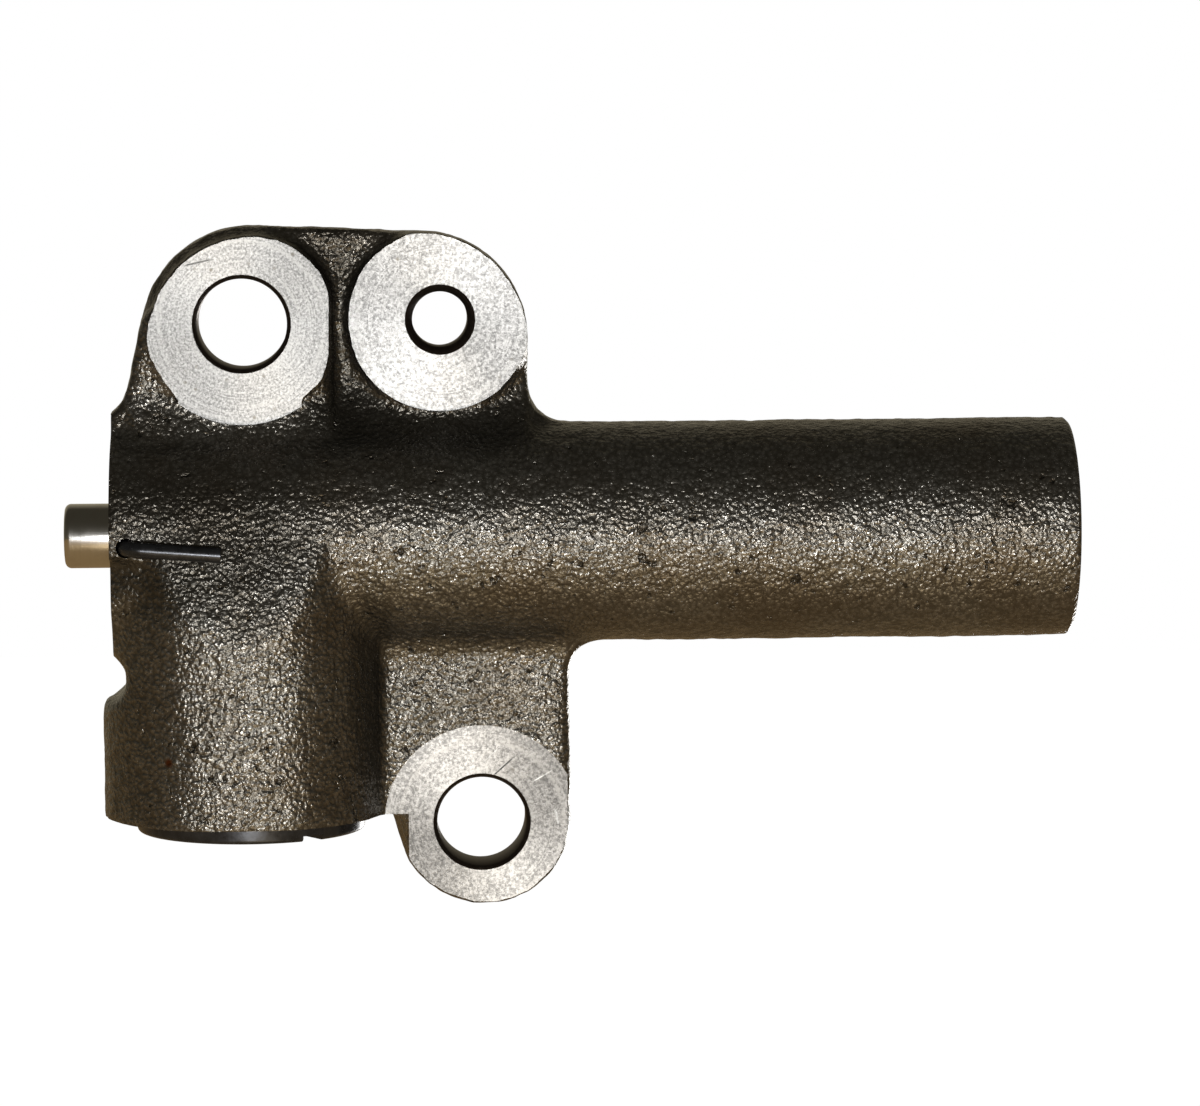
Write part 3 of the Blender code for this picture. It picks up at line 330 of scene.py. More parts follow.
UPPER_RIGHT_FACE_Y = -3.3 * MM
UPPER_RIGHT_FACE_RADIUS = 11.2 * MM
TAP_RADIUS = 3.4 * MM
TAP_CHAMFER = 0.9 * MM
PLATE_FILLET = 4.6 * MM
PLATE_LEAN = 12.6                  # degrees
PLATE_FOOT_TOP = 18.2 * MM
PLATE_FOOT_RADIUS = 5.0 * MM
PLATE_FOOT_TURN = 62               # degrees
WEB_FILLET = 4.0 * MM
FRONT_FILLET = 10.0 * MM

# Lug, round the lower hole.
LUG_HALF = 4.0 * MM
LUG_HOLE = (50.7 * MM, -35.5 * MM)
LUG_SHIFT = (0.3 * MM, 0.3 * MM)
LUG_CORNER = 10.6 * MM
LUG_FACE_Y = -3.6 * MM
LUG_FACE_RADIUS = 12.0 * MM
LUG_FILLET = 3.0 * MM
LUG_STEP_X = 41.7 * MM
LUG_HEEL_LEAN = 2.3 * MM
LUG_HEEL = (LUG_STEP_X - LUG_HEEL_LEAN, RESERVOIR_BOTTOM)

# Flat that runs down to the notch, as two (x, y) points, and the hole for the stopper pin.
LEFT_FACET = ((4.0 * MM, -9.8 * MM), (11.0 * MM, -13.5 * MM))
LEFT_FACET_TOP = -2.0 * MM
PIN_X = 8.0 * MM
PIN_Z = -0.4 * MM
PIN_HOLE_RADIUS = 1.2 * MM
PIN_HOLE_ROUND = 40

# Start and end of each scratch, half its width, all in mm from the hole, and its brightness.
UPPER_LEFT_SCRATCHES = (((-7.0, 7.1), (-3.4, 7.9), 0.14, 0.06),
                        ((-2.2, -7.3), (-1.7, -7.3), 0.5, 0.2),
                        ((4.1, 5.4), (4.3, 5.7), 0.3, 0.25))
LUG_SCRATCHES = (((1.3, 5.6), (4.0, 8.0), 0.13, 0.03), ((6.1, 4.8), (8.7, 6.3), 0.1, 0.7),
                 ((0.2, 7.4), (2.6, 9.6), 0.06, 0.42), ((9.0, 1.6), (9.4, -0.5), 0.2, 0.5))

# Name, hole, colour, roughness and scratches of each spot face.
SPOT_FACES = (("spot_face_left", UPPER_LEFT_HOLE, (0.345, 0.342, 0.332), 0.45,
               UPPER_LEFT_SCRATCHES),
              ("spot_face_right", UPPER_RIGHT_HOLE, (0.285, 0.282, 0.274), 0.39, ()),
              ("spot_face_lower", LUG_HOLE, (0.31, 0.302, 0.287), 0.43, LUG_SCRATCHES))

# Colours of the skin, the machined faces and the bores, where the rust lies, and the painted
# shade on the skin.
SKIN_DARK = (0.12, 0.113, 0.098, 1)
SKIN_TIPS = (0.272, 0.265, 0.248, 1)
SKIN_BROWN = (0.11, 0.088, 0.062, 1)
SKIN_PITS = (0.015, 0.014, 0.012, 1)
FACE_PITS = (0.16, 0.15, 0.13, 1)
MILLED_FLAT = (0.5, 0.49, 0.47)
# Painted shade: the bore colours are near black, as the inside of the holes looks, not as bored
# iron is.
BORE_PAINTED_SHADE_DARK = (0.05, 0.04, 0.033, 1)
BORE_PAINTED_SHADE_LIGHT = (0.12, 0.1, 0.085, 1)
PAINTED_SHADE_BROWN = (0.05, 0.046, 0.038, 1)
RUST_RED = (0.11, 0.035, 0.012, 1)
RUST_SPOT = (13.0 * MM, -14.6 * MM, -26.2 * MM)

# Painted shade: darker patches on the skin where shade falls, by the pin, between the upper pads,
# beside the reservoir's right side, under the right pad and at the top of the lug. Centre and
# reach of each patch in mm, and its strength.
PAINTED_SHADE_PATCHES = (((15.0, -13.5, 0.5), (17.0, 6.0, 9.0), 0.62),
              ((33.2, -3.0, 26.0), (5.0, 8.0, 18.0), 0.72),
              ((37.3, -8.0, -17.0), (2.8, 9.0, 14.0), 0.6),
              ((47.0, -5.0, 14.0), (15.0, 6.0, 4.5), 0.6),
              ((48.0, -4.0, -21.0), (8.0, 6.0, 9.0), 0.26))

# How the casting is made: cutters, skin and faces.
PAST = 2.0 * MM                    # how far a cutter reaches past what it cuts
MERGE = 0.0005 * MM                # points closer than this are one
ROUND = 96                         # sides of a round shape
SHARP_EDGE = radians(40)
CAST_SHARP_EDGE = radians(50)
SKIN_VOXEL = 0.46 * MM
SKIN_SMOOTHING = 22
SKIN_RELIEF = ((2.2 * MM, 0.09 * MM), (1.0 * MM, 0.07 * MM),     # size and height of the grains
               (9.0 * MM, 0.14 * MM))
RELIEF_SHIFT = (7.1, 3.3, 5.7)     # in grains, so that the sizes don't line up
SKIN_BUMP = 0.2 * MM               # depth of the finer grain
SKIN_WANDER = 0.5 * MM             # how far the grain's cells stray from round
RING_BUMP = 0.012 * MM             # depth of the tool marks on a machined face
MOTTLE_BUMP = 0.01 * MM
BORE_BUMP = 0.02 * MM
SKIN_SLOT, FLAT_SLOT, WALL_SLOT = 0, 4, 5       # 1 to 3 are the spot faces
FACE_REACH = 13.0 * MM             # from a hole's middle, past the edge of its spot face
FACE_ON = 0.999                    # a normal's part along an axis from which a face lies flat
SIDE_ON = 0.9                      # and up to which it stands as a wall
NEAR = 0.002 * MM                  # closer than this, a face lies on its plane
X_AXIS = Vector((1, 0, 0))
Y_AXIS = Vector((0, 1, 0))
Z_AXIS = Vector((0, 0, 1))


def turn_to(axis):
    return axis.to_track_quat("Z", "Y").to_matrix().to_4x4()


def new_piece(name, shape, materials=()):
    """Makes an object of a bmesh, smooth but for its sharp edges."""
    bmesh.ops.recalc_face_normals(shape, faces=shape.faces)
    mesh = bpy.data.meshes.new(name)
    shape.to_mesh(mesh)
    shape.free()
    mesh.shade_smooth()
    mesh.set_sharp_from_angle(angle=SHARP_EDGE)
    for material in materials:
        mesh.materials.append(material)
    piece = bpy.data.objects.new(name, mesh)
    bpy.context.scene.collection.objects.link(piece)
    return piece


def turned(profile, axis=X_AXIS, origin=(0, 0, 0)):
    """A shape spun from (along, radius) points about an axis; radius 0 closes it."""
    shape = bmesh.new()
    points = [shape.verts.new((radius, 0, along)) for along, radius in profile]
    edges = [shape.edges.new(pair) for pair in zip(points, points[1:])]
    if all(radius > 0 for _, radius in profile):
        edges.append(shape.edges.new((points[-1], points[0])))
    bmesh.ops.spin(shape, geom=points + edges, cent=(0, 0, 0), axis=(0, 0, 1), angle=2 * pi,
                   steps=ROUND, use_merge=True)
    bmesh.ops.remove_doubles(shape, verts=shape.verts, dist=MERGE)
    bmesh.ops.transform(shape, matrix=Matrix.Translation(origin) @ turn_to(axis),
                        verts=shape.verts)
    return shape


def add_rod_shape(shape, start, end, radius, steps=ROUND):
    """A solid round bar between two points."""
    start, end = Vector(start), Vector(end)
    place = Matrix.Translation((start + end) / 2) @ turn_to((end - start).normalized())
    bmesh.ops.create_cone(shape, cap_ends=True, segments=steps, radius1=radius, radius2=radius,
                          depth=(end - start).length, matrix=place)


def add_box_shape(shape, low, high):
    low, high = Vector(low), Vector(high)
    place = Matrix.Translation((low + high) / 2) @ Matrix.Diagonal((*(high - low), 1))
    bmesh.ops.create_cube(shape, size=1, matrix=place)


def draw_out(shape, faces, way):
    """Extrudes faces and returns the moved ones."""
    grown = bmesh.ops.extrude_face_region(shape, geom=faces)
    moved = [item for item in grown["geom"] if isinstance(item, bmesh.types.BMVert)]
    bmesh.ops.translate(shape, vec=way, verts=moved)
    return [item for item in grown["geom"] if isinstance(item, bmesh.types.BMFace)]


def add_plate_shape(shape, outline, front, back):
    """A plate between two planes along Y, from the (x, z) points of its outline."""
    face = shape.faces.new([shape.verts.new((x, front, z)) for x, z in outline])
    draw_out(shape, [face], (0, back - front, 0))


def arc(centre, radius, start, end, steps=12):
    """Points along an arc from one angle to another, in degrees."""
    angles = [radians(start + (end - start) * i / steps) for i in range(steps + 1)]
    return [(centre[0] + radius * cos(a), centre[1] + radius * sin(a)) for a in angles]


def shifted(hole, shift):
    return hole[0] + shift[0], hole[1] + shift[1]


def plate_left_side():
    """The plate's left edge, leaning inwards above a fillet to the barrel."""
    left = shifted(UPPER_LEFT_HOLE, UPPER_LEFT_SHIFT)
    lean = radians(PLATE_LEAN)
    lean_top = (left[0] - UPPER_LEFT_CORNER * cos(lean), left[1] + UPPER_LEFT_CORNER * sin(lean))
    foot_x = lean_top[0] - (lean_top[1] - PLATE_FOOT_TOP) * tan(lean)
    foot_centre = (foot_x - PLATE_FOOT_RADIUS * cos(lean),
                   PLATE_FOOT_TOP + PLATE_FOOT_RADIUS * sin(lean))
    return ([(BARREL_LEFT, BARREL_RADIUS / 2)]
            + arc(foot_centre, PLATE_FOOT_RADIUS, -PLATE_FOOT_TURN, -PLATE_LEAN, steps=6)
            + [lean_top])


def upper_plate_outline():
    """Corners run round the two holes, joined by a tangent, with a fillet to the barrel."""
    left = shifted(UPPER_LEFT_HOLE, UPPER_LEFT_SHIFT)
    right = shifted(UPPER_RIGHT_HOLE, UPPER_RIGHT_SHIFT)
    across = (right[0] - left[0], right[1] - left[1])
    tangent = degrees(atan2(across[1], across[0])
                      + acos((UPPER_LEFT_CORNER - UPPER_RIGHT_CORNER) / hypot(*across)))
    fillet_centre = (right[0] + UPPER_RIGHT_CORNER + PLATE_FILLET, BARREL_RADIUS + PLATE_FILLET)
    return (plate_left_side()[:-1] + arc(left, UPPER_LEFT_CORNER, 180 - PLATE_LEAN, tangent)
            + arc(right, UPPER_RIGHT_CORNER, tangent, 0)
            + arc(fillet_centre, PLATE_FILLET, 180, 270, steps=8)
            + [(fillet_centre[0], BARREL_RADIUS / 2)])


def lug_outline():
    """The lug hangs from the barrel and the reservoir's right side, round the lower hole."""
    corner = shifted(LUG_HOLE, LUG_SHIFT)
    fillet_centre = (corner[0] + LUG_CORNER + LUG_FILLET, -BARREL_RADIUS - LUG_FILLET)
    away = (LUG_HEEL[0] - corner[0], LUG_HEEL[1] - corner[1])
    touch = degrees(atan2(away[1], away[0]) + acos(LUG_CORNER / hypot(*away)))
    left = CHAMBER_X + CHAMBER_RADIUS
    inside = BARREL_RADIUS / 2
    return ([(left, -inside), (fillet_centre[0], -inside)]
            + arc(fillet_centre, LUG_FILLET, 90, 180, steps=6)
            + arc(corner, LUG_CORNER, 360, touch, steps=24)
            + [LUG_HEEL, (left, RESERVOIR_BOTTOM)])


def round_outline(centre, radius, shift, outer, right_edge=inf):
    """A circle kept inside an outer one, shifted from it, and cut straight on its right."""
    points = []
    for step in range(ROUND):
        angle = 2 * pi * step / ROUND
        toward = shift[0] * cos(angle) + shift[1] * sin(angle)
        to_outer = toward + sqrt(toward ** 2 + outer ** 2 - shift[0] ** 2 - shift[1] ** 2)
        to_right = right_edge / cos(angle) if cos(angle) > 0.01 else inf
        reach = min(radius, to_outer, to_right)
        points.append((centre[0] + reach * cos(angle), centre[1] + reach * sin(angle)))
    return points


def add_web_fillet(shape, start, end, half, side, fronts=(-1, 1), radius=WEB_FILLET):
    """Fills the corner between a flat web and the barrel; side is 1 above and -1 below."""
    steps = 10
    centre_y = half + radius
    centre_z = sqrt((BARREL_RADIUS + radius) ** 2 - centre_y ** 2)
    touch = atan2(centre_z, centre_y)
    section = [(0, BARREL_RADIUS / 2), (0, centre_z)]
    for step in range(steps + 1):
        turn = pi + touch * step / steps
        section.append((centre_y + radius * cos(turn), centre_z + radius * sin(turn)))
    for front in fronts:
        points = [shape.verts.new((start, front * y, side * z)) for y, z in section]
        draw_out(shape, [shape.faces.new(points)], (end - start, 0, 0))


def trim(shape, place, normal):
    """Cuts off what lies beyond a plane and closes the cut."""
    bmesh.ops.bisect_plane(shape, geom=shape.verts[:] + shape.edges[:] + shape.faces[:],
                           plane_co=place, plane_no=Vector(normal).normalized(),
                           clear_outer=True)
    rim = [edge for edge in shape.edges if edge.is_boundary]
    bmesh.ops.contextual_create(shape, geom=rim)


def join_shape(shape, other):
    """Adds another shape to a shape and frees the other."""
    mesh = bpy.data.meshes.new("joined_shape")
    other.to_mesh(mesh)
    other.free()
    shape.from_mesh(mesh)
    bpy.data.meshes.remove(mesh)


def casting_blank():
    """The closed shapes that the casting is fused from."""
    blank = bmesh.new()
    add_rod_shape(blank, (BARREL_LEFT - CAST_STOCK, 0, 0), (BARREL_RIGHT + CAST_STOCK, 0, 0),
                  BARREL_RADIUS)
    reservoir = bmesh.new()
    plan = round_outline((RESERVOIR_X, 0), RESERVOIR_RADIUS, (0, CROWN_RADIUS - RESERVOIR_FRONT),
                         CROWN_RADIUS)
    low = RESERVOIR_BOTTOM - CAST_STOCK
    base = reservoir.faces.new([reservoir.verts.new((x, y, low)) for x, y in plan])
    draw_out(reservoir, [base], (0, 0, SHOULDER_TOP - low))
    trim(reservoir, (RESERVOIR_X, RESERVOIR_BACK, 0), Y_AXIS)
    top_y = sqrt(BARREL_RADIUS ** 2 - SHOULDER_TOP ** 2)
    for side, wall_y in ((-1, RESERVOIR_FRONT), (1, RESERVOIR_BACK)):
        lean = (0, side * (SHOULDER_TOP - SHOULDER_BOTTOM), wall_y - top_y)
        trim(reservoir, (RESERVOIR_X, side * top_y, SHOULDER_TOP), lean)
    join_shape(blank, reservoir)
    add_plate_shape(blank, upper_plate_outline(), -PLATE_FRONT, PLATE_BACK)
    pad_right = UPPER_LEFT_HOLE[0] + UPPER_LEFT_PAD_EDGE
    foot = plate_left_side() + [(pad_right, UPPER_LEFT_HOLE[1]), (pad_right, BARREL_RADIUS / 2)]
    add_plate_shape(blank, foot, UPPER_LEFT_FOOT_Y, PLATE_BACK)
    wedge = blank.faces.new([blank.verts.new((FOOT_WEDGE_LEFT, y, z)) for y, z in FOOT_WEDGE])
    draw_out(blank, [wedge], (pad_right - FOOT_WEDGE_LEFT, 0, 0))
    add_plate_shape(blank, lug_outline(), -LUG_HALF, LUG_HALF)
    plate_left = UPPER_LEFT_HOLE[0] - UPPER_LEFT_PAD_RADIUS
    plate_right = UPPER_RIGHT_HOLE[0] + UPPER_RIGHT_SHIFT[0] + UPPER_RIGHT_CORNER
    add_web_fillet(blank, plate_left, plate_right, PLATE_BACK, 1, fronts=(1,))
    add_web_fillet(blank, pad_right, plate_right, PLATE_FRONT, 1, (-1,), FRONT_FILLET)
    add_web_fillet(blank, CHAMBER_X + CHAMBER_RADIUS, LUG_HOLE[0] + LUG_CORNER, LUG_HALF, -1)
    back = MOUNTING_Y + CAST_STOCK
    pad = round_outline(UPPER_LEFT_HOLE, UPPER_LEFT_PAD_RADIUS, UPPER_LEFT_SHIFT,
                        UPPER_LEFT_CORNER - UPPER_LEFT_RIM, UPPER_LEFT_PAD_EDGE)
    add_plate_shape(blank, pad, UPPER_LEFT_FACE_Y - PAD_STOCK, back)
    pad = round_outline(UPPER_RIGHT_HOLE, UPPER_RIGHT_PAD_RADIUS, UPPER_RIGHT_SHIFT,
                        UPPER_RIGHT_CORNER)
    add_plate_shape(blank, pad, UPPER_RIGHT_FACE_Y - PAD_STOCK, back)
    pad = arc(shifted(LUG_HOLE, LUG_SHIFT), LUG_CORNER, 0, 360 * (ROUND - 1) / ROUND,
              steps=ROUND - 1)
    add_plate_shape(blank, pad, LUG_FACE_Y - PAD_STOCK, back)
    return blank


def cast_hollows():
    """The groove across the reservoir's left side and the flat that leads down to it."""
    notch, facet = bmesh.new(), bmesh.new()
    add_rod_shape(notch, (NOTCH_X, -2 * BARREL_RADIUS, NOTCH_Z),
                  (NOTCH_X, 2 * BARREL_RADIUS, NOTCH_Z), NOTCH_RADIUS)
    (left, left_y), (right, right_y) = LEFT_FACET
    plan = [(left, left_y), (right, right_y), (right, -2 * BARREL_RADIUS),
            (left, -2 * BARREL_RADIUS)]
    face = facet.faces.new([facet.verts.new((x, y, LEFT_FACET_TOP)) for x, y in plan])
    draw_out(facet, [face], (0, 0, -BARREL_RADIUS))
    return [notch, facet]


def fuse(casting):
    """Joins overlapping closed shapes into one skin of small even faces."""
    skin = casting.modifiers.new("skin", "REMESH")
    skin.mode = "VOXEL"
    skin.voxel_size = SKIN_VOXEL
    applied(casting)


def roughen(mesh):
    """Moves the skin in and out along its normals, in grains of the sizes in SKIN_RELIEF."""
    count = len(mesh.vertices)
    places = np.empty(count * 3)
    mesh.vertices.foreach_get("co", places)
    places = places.reshape(-1, 3)
    normals = np.array([vert.normal[:] for vert in mesh.vertices])
    moved = np.zeros(count)
    for size, height in SKIN_RELIEF:
        shift = Vector([size * part for part in RELIEF_SHIFT])
        moved += height * np.array([noise.noise((Vector(place) + shift) / size)
                                    for place in places])
    mesh.vertices.foreach_set("co", (places + normals * moved[:, None]).ravel())


def applied(piece):
    """Replaces a piece's mesh by what its modifiers make of it."""
    graph = bpy.context.evaluated_depsgraph_get()
    mesh = bpy.data.meshes.new_from_object(piece.evaluated_get(graph))
    old = piece.data
    piece.modifiers.clear()
    piece.data = mesh
    bpy.data.meshes.remove(old)


def cut_away(piece, shapes, solver="MANIFOLD"):
    """Cuts closed shapes out of a piece and removes the cutters."""
    cutters = []
    for shape in shapes:
        cutter = new_piece("cutter", shape)
        boolean = piece.modifiers.new("cut", "BOOLEAN")
        boolean.operation = "DIFFERENCE"
        boolean.solver = solver
        boolean.object = cutter
        cutters.append(cutter)
    applied(piece)
    for cutter in cutters:
        mesh = cutter.data
        bpy.data.objects.remove(cutter)
        bpy.data.meshes.remove(mesh)


def hole_shape(hole, radius, chamfer, front, face_radius):
    """The cutter for a chamfered hole and the spot face round it."""
    far, near = MOUNTING_Y + PAST + CAST_STOCK, front - 4 * PAST
    profile = [(far, 0), (far, radius), (front + chamfer, radius), (front, radius + chamfer),
               (front, face_radius), (near, face_radius), (near, 0)]
    return turned(profile, Y_AXIS, (hole[0], 0, hole[1]))


def machining_shapes():
    """Everything that is milled, drilled or bored out of the casting."""
    shapes = [hole_shape(UPPER_LEFT_HOLE, BOLT_HOLE_RADIUS, BOLT_CHAMFER, UPPER_LEFT_FACE_Y,
                         UPPER_LEFT_FACE_RADIUS),
              hole_shape(UPPER_RIGHT_HOLE, TAP_RADIUS, TAP_CHAMFER, UPPER_RIGHT_FACE_Y,
                         UPPER_RIGHT_FACE_RADIUS),
              hole_shape(LUG_HOLE, BOLT_HOLE_RADIUS, BOLT_CHAMFER, LUG_FACE_Y, LUG_FACE_RADIUS)]
    for centre, radius in ((UPPER_LEFT_HOLE, UPPER_LEFT_PAD_RADIUS),
                           (UPPER_RIGHT_HOLE, UPPER_RIGHT_PAD_RADIUS), (LUG_HOLE, LUG_CORNER)):
        shape = bmesh.new()
        add_rod_shape(shape, (centre[0], MOUNTING_Y, centre[1]),
                      (centre[0], MOUNTING_Y + 4 * PAST, centre[1]), radius + CAST_STOCK)
        shapes.append(shape)
    left, bottom, pin_hole, heel = [bmesh.new() for _ in range(4)]
    add_rod_shape(left, (BARREL_LEFT - 4 * PAST, 0, 0), (BARREL_LEFT, 0, 0), LEFT_FACE_RADIUS)
    wide = 2 * BARREL_RADIUS
    add_box_shape(bottom, (RESERVOIR_X - wide, -wide, RESERVOIR_BOTTOM - 2 * PAST),
                  (LUG_HEEL[0], wide, RESERVOIR_BOTTOM))
    add_rod_shape(pin_hole, (PIN_X, -BARREL_RADIUS - PAST, PIN_Z),
                  (PIN_X, -ROD_HOLE_RADIUS / 2, PIN_Z), PIN_HOLE_RADIUS, PIN_HOLE_ROUND)
    low, far_left = LUG_HOLE[1] - LUG_CORNER, LUG_HEEL[0] - PAST
    front = LUG_FACE_Y - 2 * PAST
    plan = [(far_left, front), (LUG_STEP_X, front), (LUG_STEP_X, LUG_FACE_Y),
            (LUG_HEEL[0], LUG_HALF), (far_left, LUG_HALF)]
    face = heel.faces.new([heel.verts.new((x, y, RESERVOIR_BOTTOM)) for x, y in plan])
    draw_out(heel, [face], (0, 0, low - RESERVOIR_BOTTOM))
    end = BARREL_RIGHT + PAST
    right = [(BARREL_RIGHT, 0), (BARREL_RIGHT, BARREL_RADIUS - END_CHAMFER),
             (BARREL_RIGHT - END_CHAMFER - CAST_STOCK, BARREL_RADIUS + CAST_STOCK),
             (end, BARREL_RADIUS + CAST_STOCK), (end, 0)]
    bore = [(BARREL_LEFT - PAST, 0), (BARREL_LEFT - PAST, ROD_HOLE_RADIUS),
            (POCKET_START, ROD_HOLE_RADIUS), (POCKET_START, POCKET_RADIUS),
            (BORE_START, POCKET_RADIUS), (BORE_START, BORE_RADIUS),
            (RING_GROOVE[0], BORE_RADIUS), (RING_GROOVE[0], RING_GROOVE_RADIUS),
            (RING_GROOVE[1], RING_GROOVE_RADIUS), (RING_GROOVE[1], BORE_RADIUS),
            (BARREL_RIGHT - BORE_CHAMFER, BORE_RADIUS),
            (BARREL_RIGHT + PAST / 2, BORE_RADIUS + BORE_CHAMFER + PAST / 2),
            (BARREL_RIGHT + PAST / 2, 0)]
    chamber = [(-BORE_RADIUS / 2, 0), (-BORE_RADIUS / 2, PORT_RADIUS), (CHAMBER_TOP, PORT_RADIUS),
               (CHAMBER_TOP, CHAMBER_RADIUS), (PLUG_BORE_TOP, CHAMBER_RADIUS),
               (PLUG_BORE_TOP, PLUG_BORE_RADIUS), (RESERVOIR_BOTTOM - PAST, PLUG_BORE_RADIUS),
               (RESERVOIR_BOTTOM - PAST, 0)]
    return shapes + [left, turned(right), bottom, pin_hole, heel, turned(bore),
                     turned(chamber, Z_AXIS, (CHAMBER_X, 0, 0))]


def cast_skin_material():
    """Rough dark iron: brown-black between the grains, with silvery tips, a few pits, a rust spot
    and patches of painted shade.
    """
    shader = Shader("cast_skin")
    place = shader.place()
    warp = shader.add("TexNoise", place)
    warp.inputs["Scale"].default_value = 900
    wander = shader.add("VectorMath", warp.outputs["Color"], (0.5, 0.5, 0.5),
                        operation="SUBTRACT")
    wander = shader.add("VectorMath", wander.outputs[0], operation="SCALE")
    wander.inputs["Scale"].default_value = SKIN_WANDER
    moved = shader.add("VectorMath", place, wander.outputs[0], operation="ADD").outputs[0]
    pebble = shader.ramp(shader.cells(moved, 1800), 0.0, 0.8, 1.0, 0.0)
    grain = shader.noise(moved, 1300, 3.0, 0.6)
    broad = shader.noise(place, 75, 3.0, 0.55)
    pit = shader.ramp(shader.noise(moved, 520, 3.0, 0.6), 0.64, 0.72)
    height = shader.math("ADD", shader.math("MULTIPLY", pebble, 0.5),
                         shader.math("MULTIPLY", grain, 1.0))
    tips = shader.ramp(height, 0.55, 1.0)
    color = shader.mix(tips, SKIN_DARK, SKIN_TIPS)
    stain = shader.ramp(broad, 0.45, 0.7, 0.0, 0.5)
    color = shader.mix(stain, color, SKIN_BROWN)
    color = shader.mix(shader.math("MULTIPLY", pit, 0.75), color, SKIN_PITS)
    # Painted shade: each patch below darkens the skin's colour where shade falls.
    for centre, reach, strength in PAINTED_SHADE_PATCHES:
        centre, reach = [[part * MM for part in triple] for triple in (centre, reach)]
        oil = shader.add("VectorMath", place, centre, operation="SUBTRACT").outputs[0]
        oil = shader.add("VectorMath", oil, reach, operation="DIVIDE").outputs[0]
        oil = shader.add("VectorMath", oil, operation="LENGTH").outputs["Value"]
        oil = shader.math("ADD", oil, shader.math("MULTIPLY", broad, 0.5))
        oil = shader.ramp(oil, 0.9, 1.5, strength, 0.0)
        color = shader.mix(oil, color, PAINTED_SHADE_BROWN)
    rust = shader.add("VectorMath", place, RUST_SPOT, operation="DISTANCE").outputs["Value"]
    rust = shader.ramp(rust, 0.35 * MM, 0.75 * MM, 1.0, 0.0)
    color = shader.mix(rust, color, RUST_RED)
    roughness = shader.ramp(grain, 0.3, 0.7, 0.36, 0.22)
    relief = shader.math("SUBTRACT", height, shader.math("MULTIPLY", pit, 0.8))
    normal = shader.bump(relief, SKIN_BUMP)
    return shader.finish(color, roughness, 0.88, normal)


def stroke(shader, x, z, start, end, half_width):
    """How far a point lies on a scratch between two (x, z) points: 1 on it, 0 off it."""
    length = hypot(end[0] - start[0], end[1] - start[1])
    way = ((end[0] - start[0]) / length, (end[1] - start[1]) / length)
    from_x, from_z = shader.math("SUBTRACT", x, start[0]), shader.math("SUBTRACT", z, start[1])
    along = shader.math("ADD", shader.math("MULTIPLY", from_x, way[0]),
                        shader.math("MULTIPLY", from_z, way[1]))
    across = shader.math("SUBTRACT", shader.math("MULTIPLY", from_x, way[1]),
                         shader.math("MULTIPLY", from_z, way[0]))
    on_line = shader.ramp(shader.math("ABSOLUTE", across), 0.4 * half_width, half_width, 1.0, 0.0)
    beyond = shader.math("ABSOLUTE", shader.math("SUBTRACT", along, length / 2))
    in_reach = shader.ramp(beyond, 0.35 * length, length / 2, 1.0, 0.0)
    return shader.math("MULTIPLY", on_line, in_reach)


def machined_material(name, hole, tone, roughness, scratches):
    """A face cut by a spot facer turning about a hole: rings of tool marks and small pits."""
    shader = Shader(name)
    place = shader.place()
    split = shader.add("SeparateXYZ", place)
    x = shader.math("SUBTRACT", split.outputs[0], hole[0])
    z = shader.math("SUBTRACT", split.outputs[2], hole[1])
    radius = shader.math("SQRT", shader.math("ADD", shader.math("MULTIPLY", x, x),
                                             shader.math("MULTIPLY", z, z)))
    outward = shader.add("CombineXYZ", x, 0.0, z).outputs[0]
    ring_place = shader.add("CombineXYZ", radius, 0.0, 0.0).outputs[0]
    rings = shader.noise(ring_place, 1600, 3.0, 0.8)
    broad_rings = shader.noise(ring_place, 560, 3.0, 0.75)
    arcs = shader.noise(place, 160, 1.0)
    rings = shader.mix(shader.ramp(arcs, 0.35, 0.6), rings, broad_rings)
    mottle = shader.noise(place, 3200, 3.0, 0.8)
    cloud = shader.noise(place, 140, 3.0, 0.5)
    pits = shader.ramp(shader.cells(place, 520), 0.06, 0.16)
    pit_here = shader.ramp(shader.noise(place, 330, 1.0), 0.56, 0.62)
    pits = shader.math("MAXIMUM", pits, shader.math("SUBTRACT", 1.0, pit_here))
    shade = shader.math("ADD", shader.math("MULTIPLY", rings, 0.75),
                        shader.math("MULTIPLY", mottle, 0.8))
    shade = shader.math("ADD", shade, shader.math("MULTIPLY", cloud, 0.12))
    color = shader.mix(shader.ramp(shade, 0.73, 0.94), [0.45 * part for part in tone] + [1],
                       [1.35 * part for part in tone] + [1])
    color = shader.mix(pits, FACE_PITS, color)
    for start, end, half_width, brightness in scratches:
        start, end = [[part * MM for part in point] for point in (start, end)]
        mark = stroke(shader, x, z, start, end, half_width * MM)
        mark = shader.math("MULTIPLY", mark, shader.ramp(mottle, 0.3, 0.55, 0.2, 1.0))
        color = shader.mix(mark, color, (brightness, brightness, 0.97 * brightness, 1))
    rough = shader.ramp(rings, 0.3, 0.7, roughness - 0.06, roughness + 0.06)
    normal = shader.bump(rings, RING_BUMP)
    normal = shader.bump(mottle, MOTTLE_BUMP, normal=normal)
    shader.principled.inputs["Anisotropic"].default_value = 1.0
    shader.fill(shader.principled.inputs["Tangent"], outward)
    return shader.finish(color, rough, 1.0, normal)


def bored_material():
    """The walls of holes and bores, finely ringed and coloured near black as painted shade,
    darker than the milled faces.
    """
    shader = Shader("bored_wall")
    place = shader.place()
    rings = shader.noise(place, 2500, 2.0, 0.6)
    color = shader.mix(rings, BORE_PAINTED_SHADE_DARK, BORE_PAINTED_SHADE_LIGHT)
    return shader.finish(color, 0.4, 0.9, shader.bump(rings, BORE_BUMP))


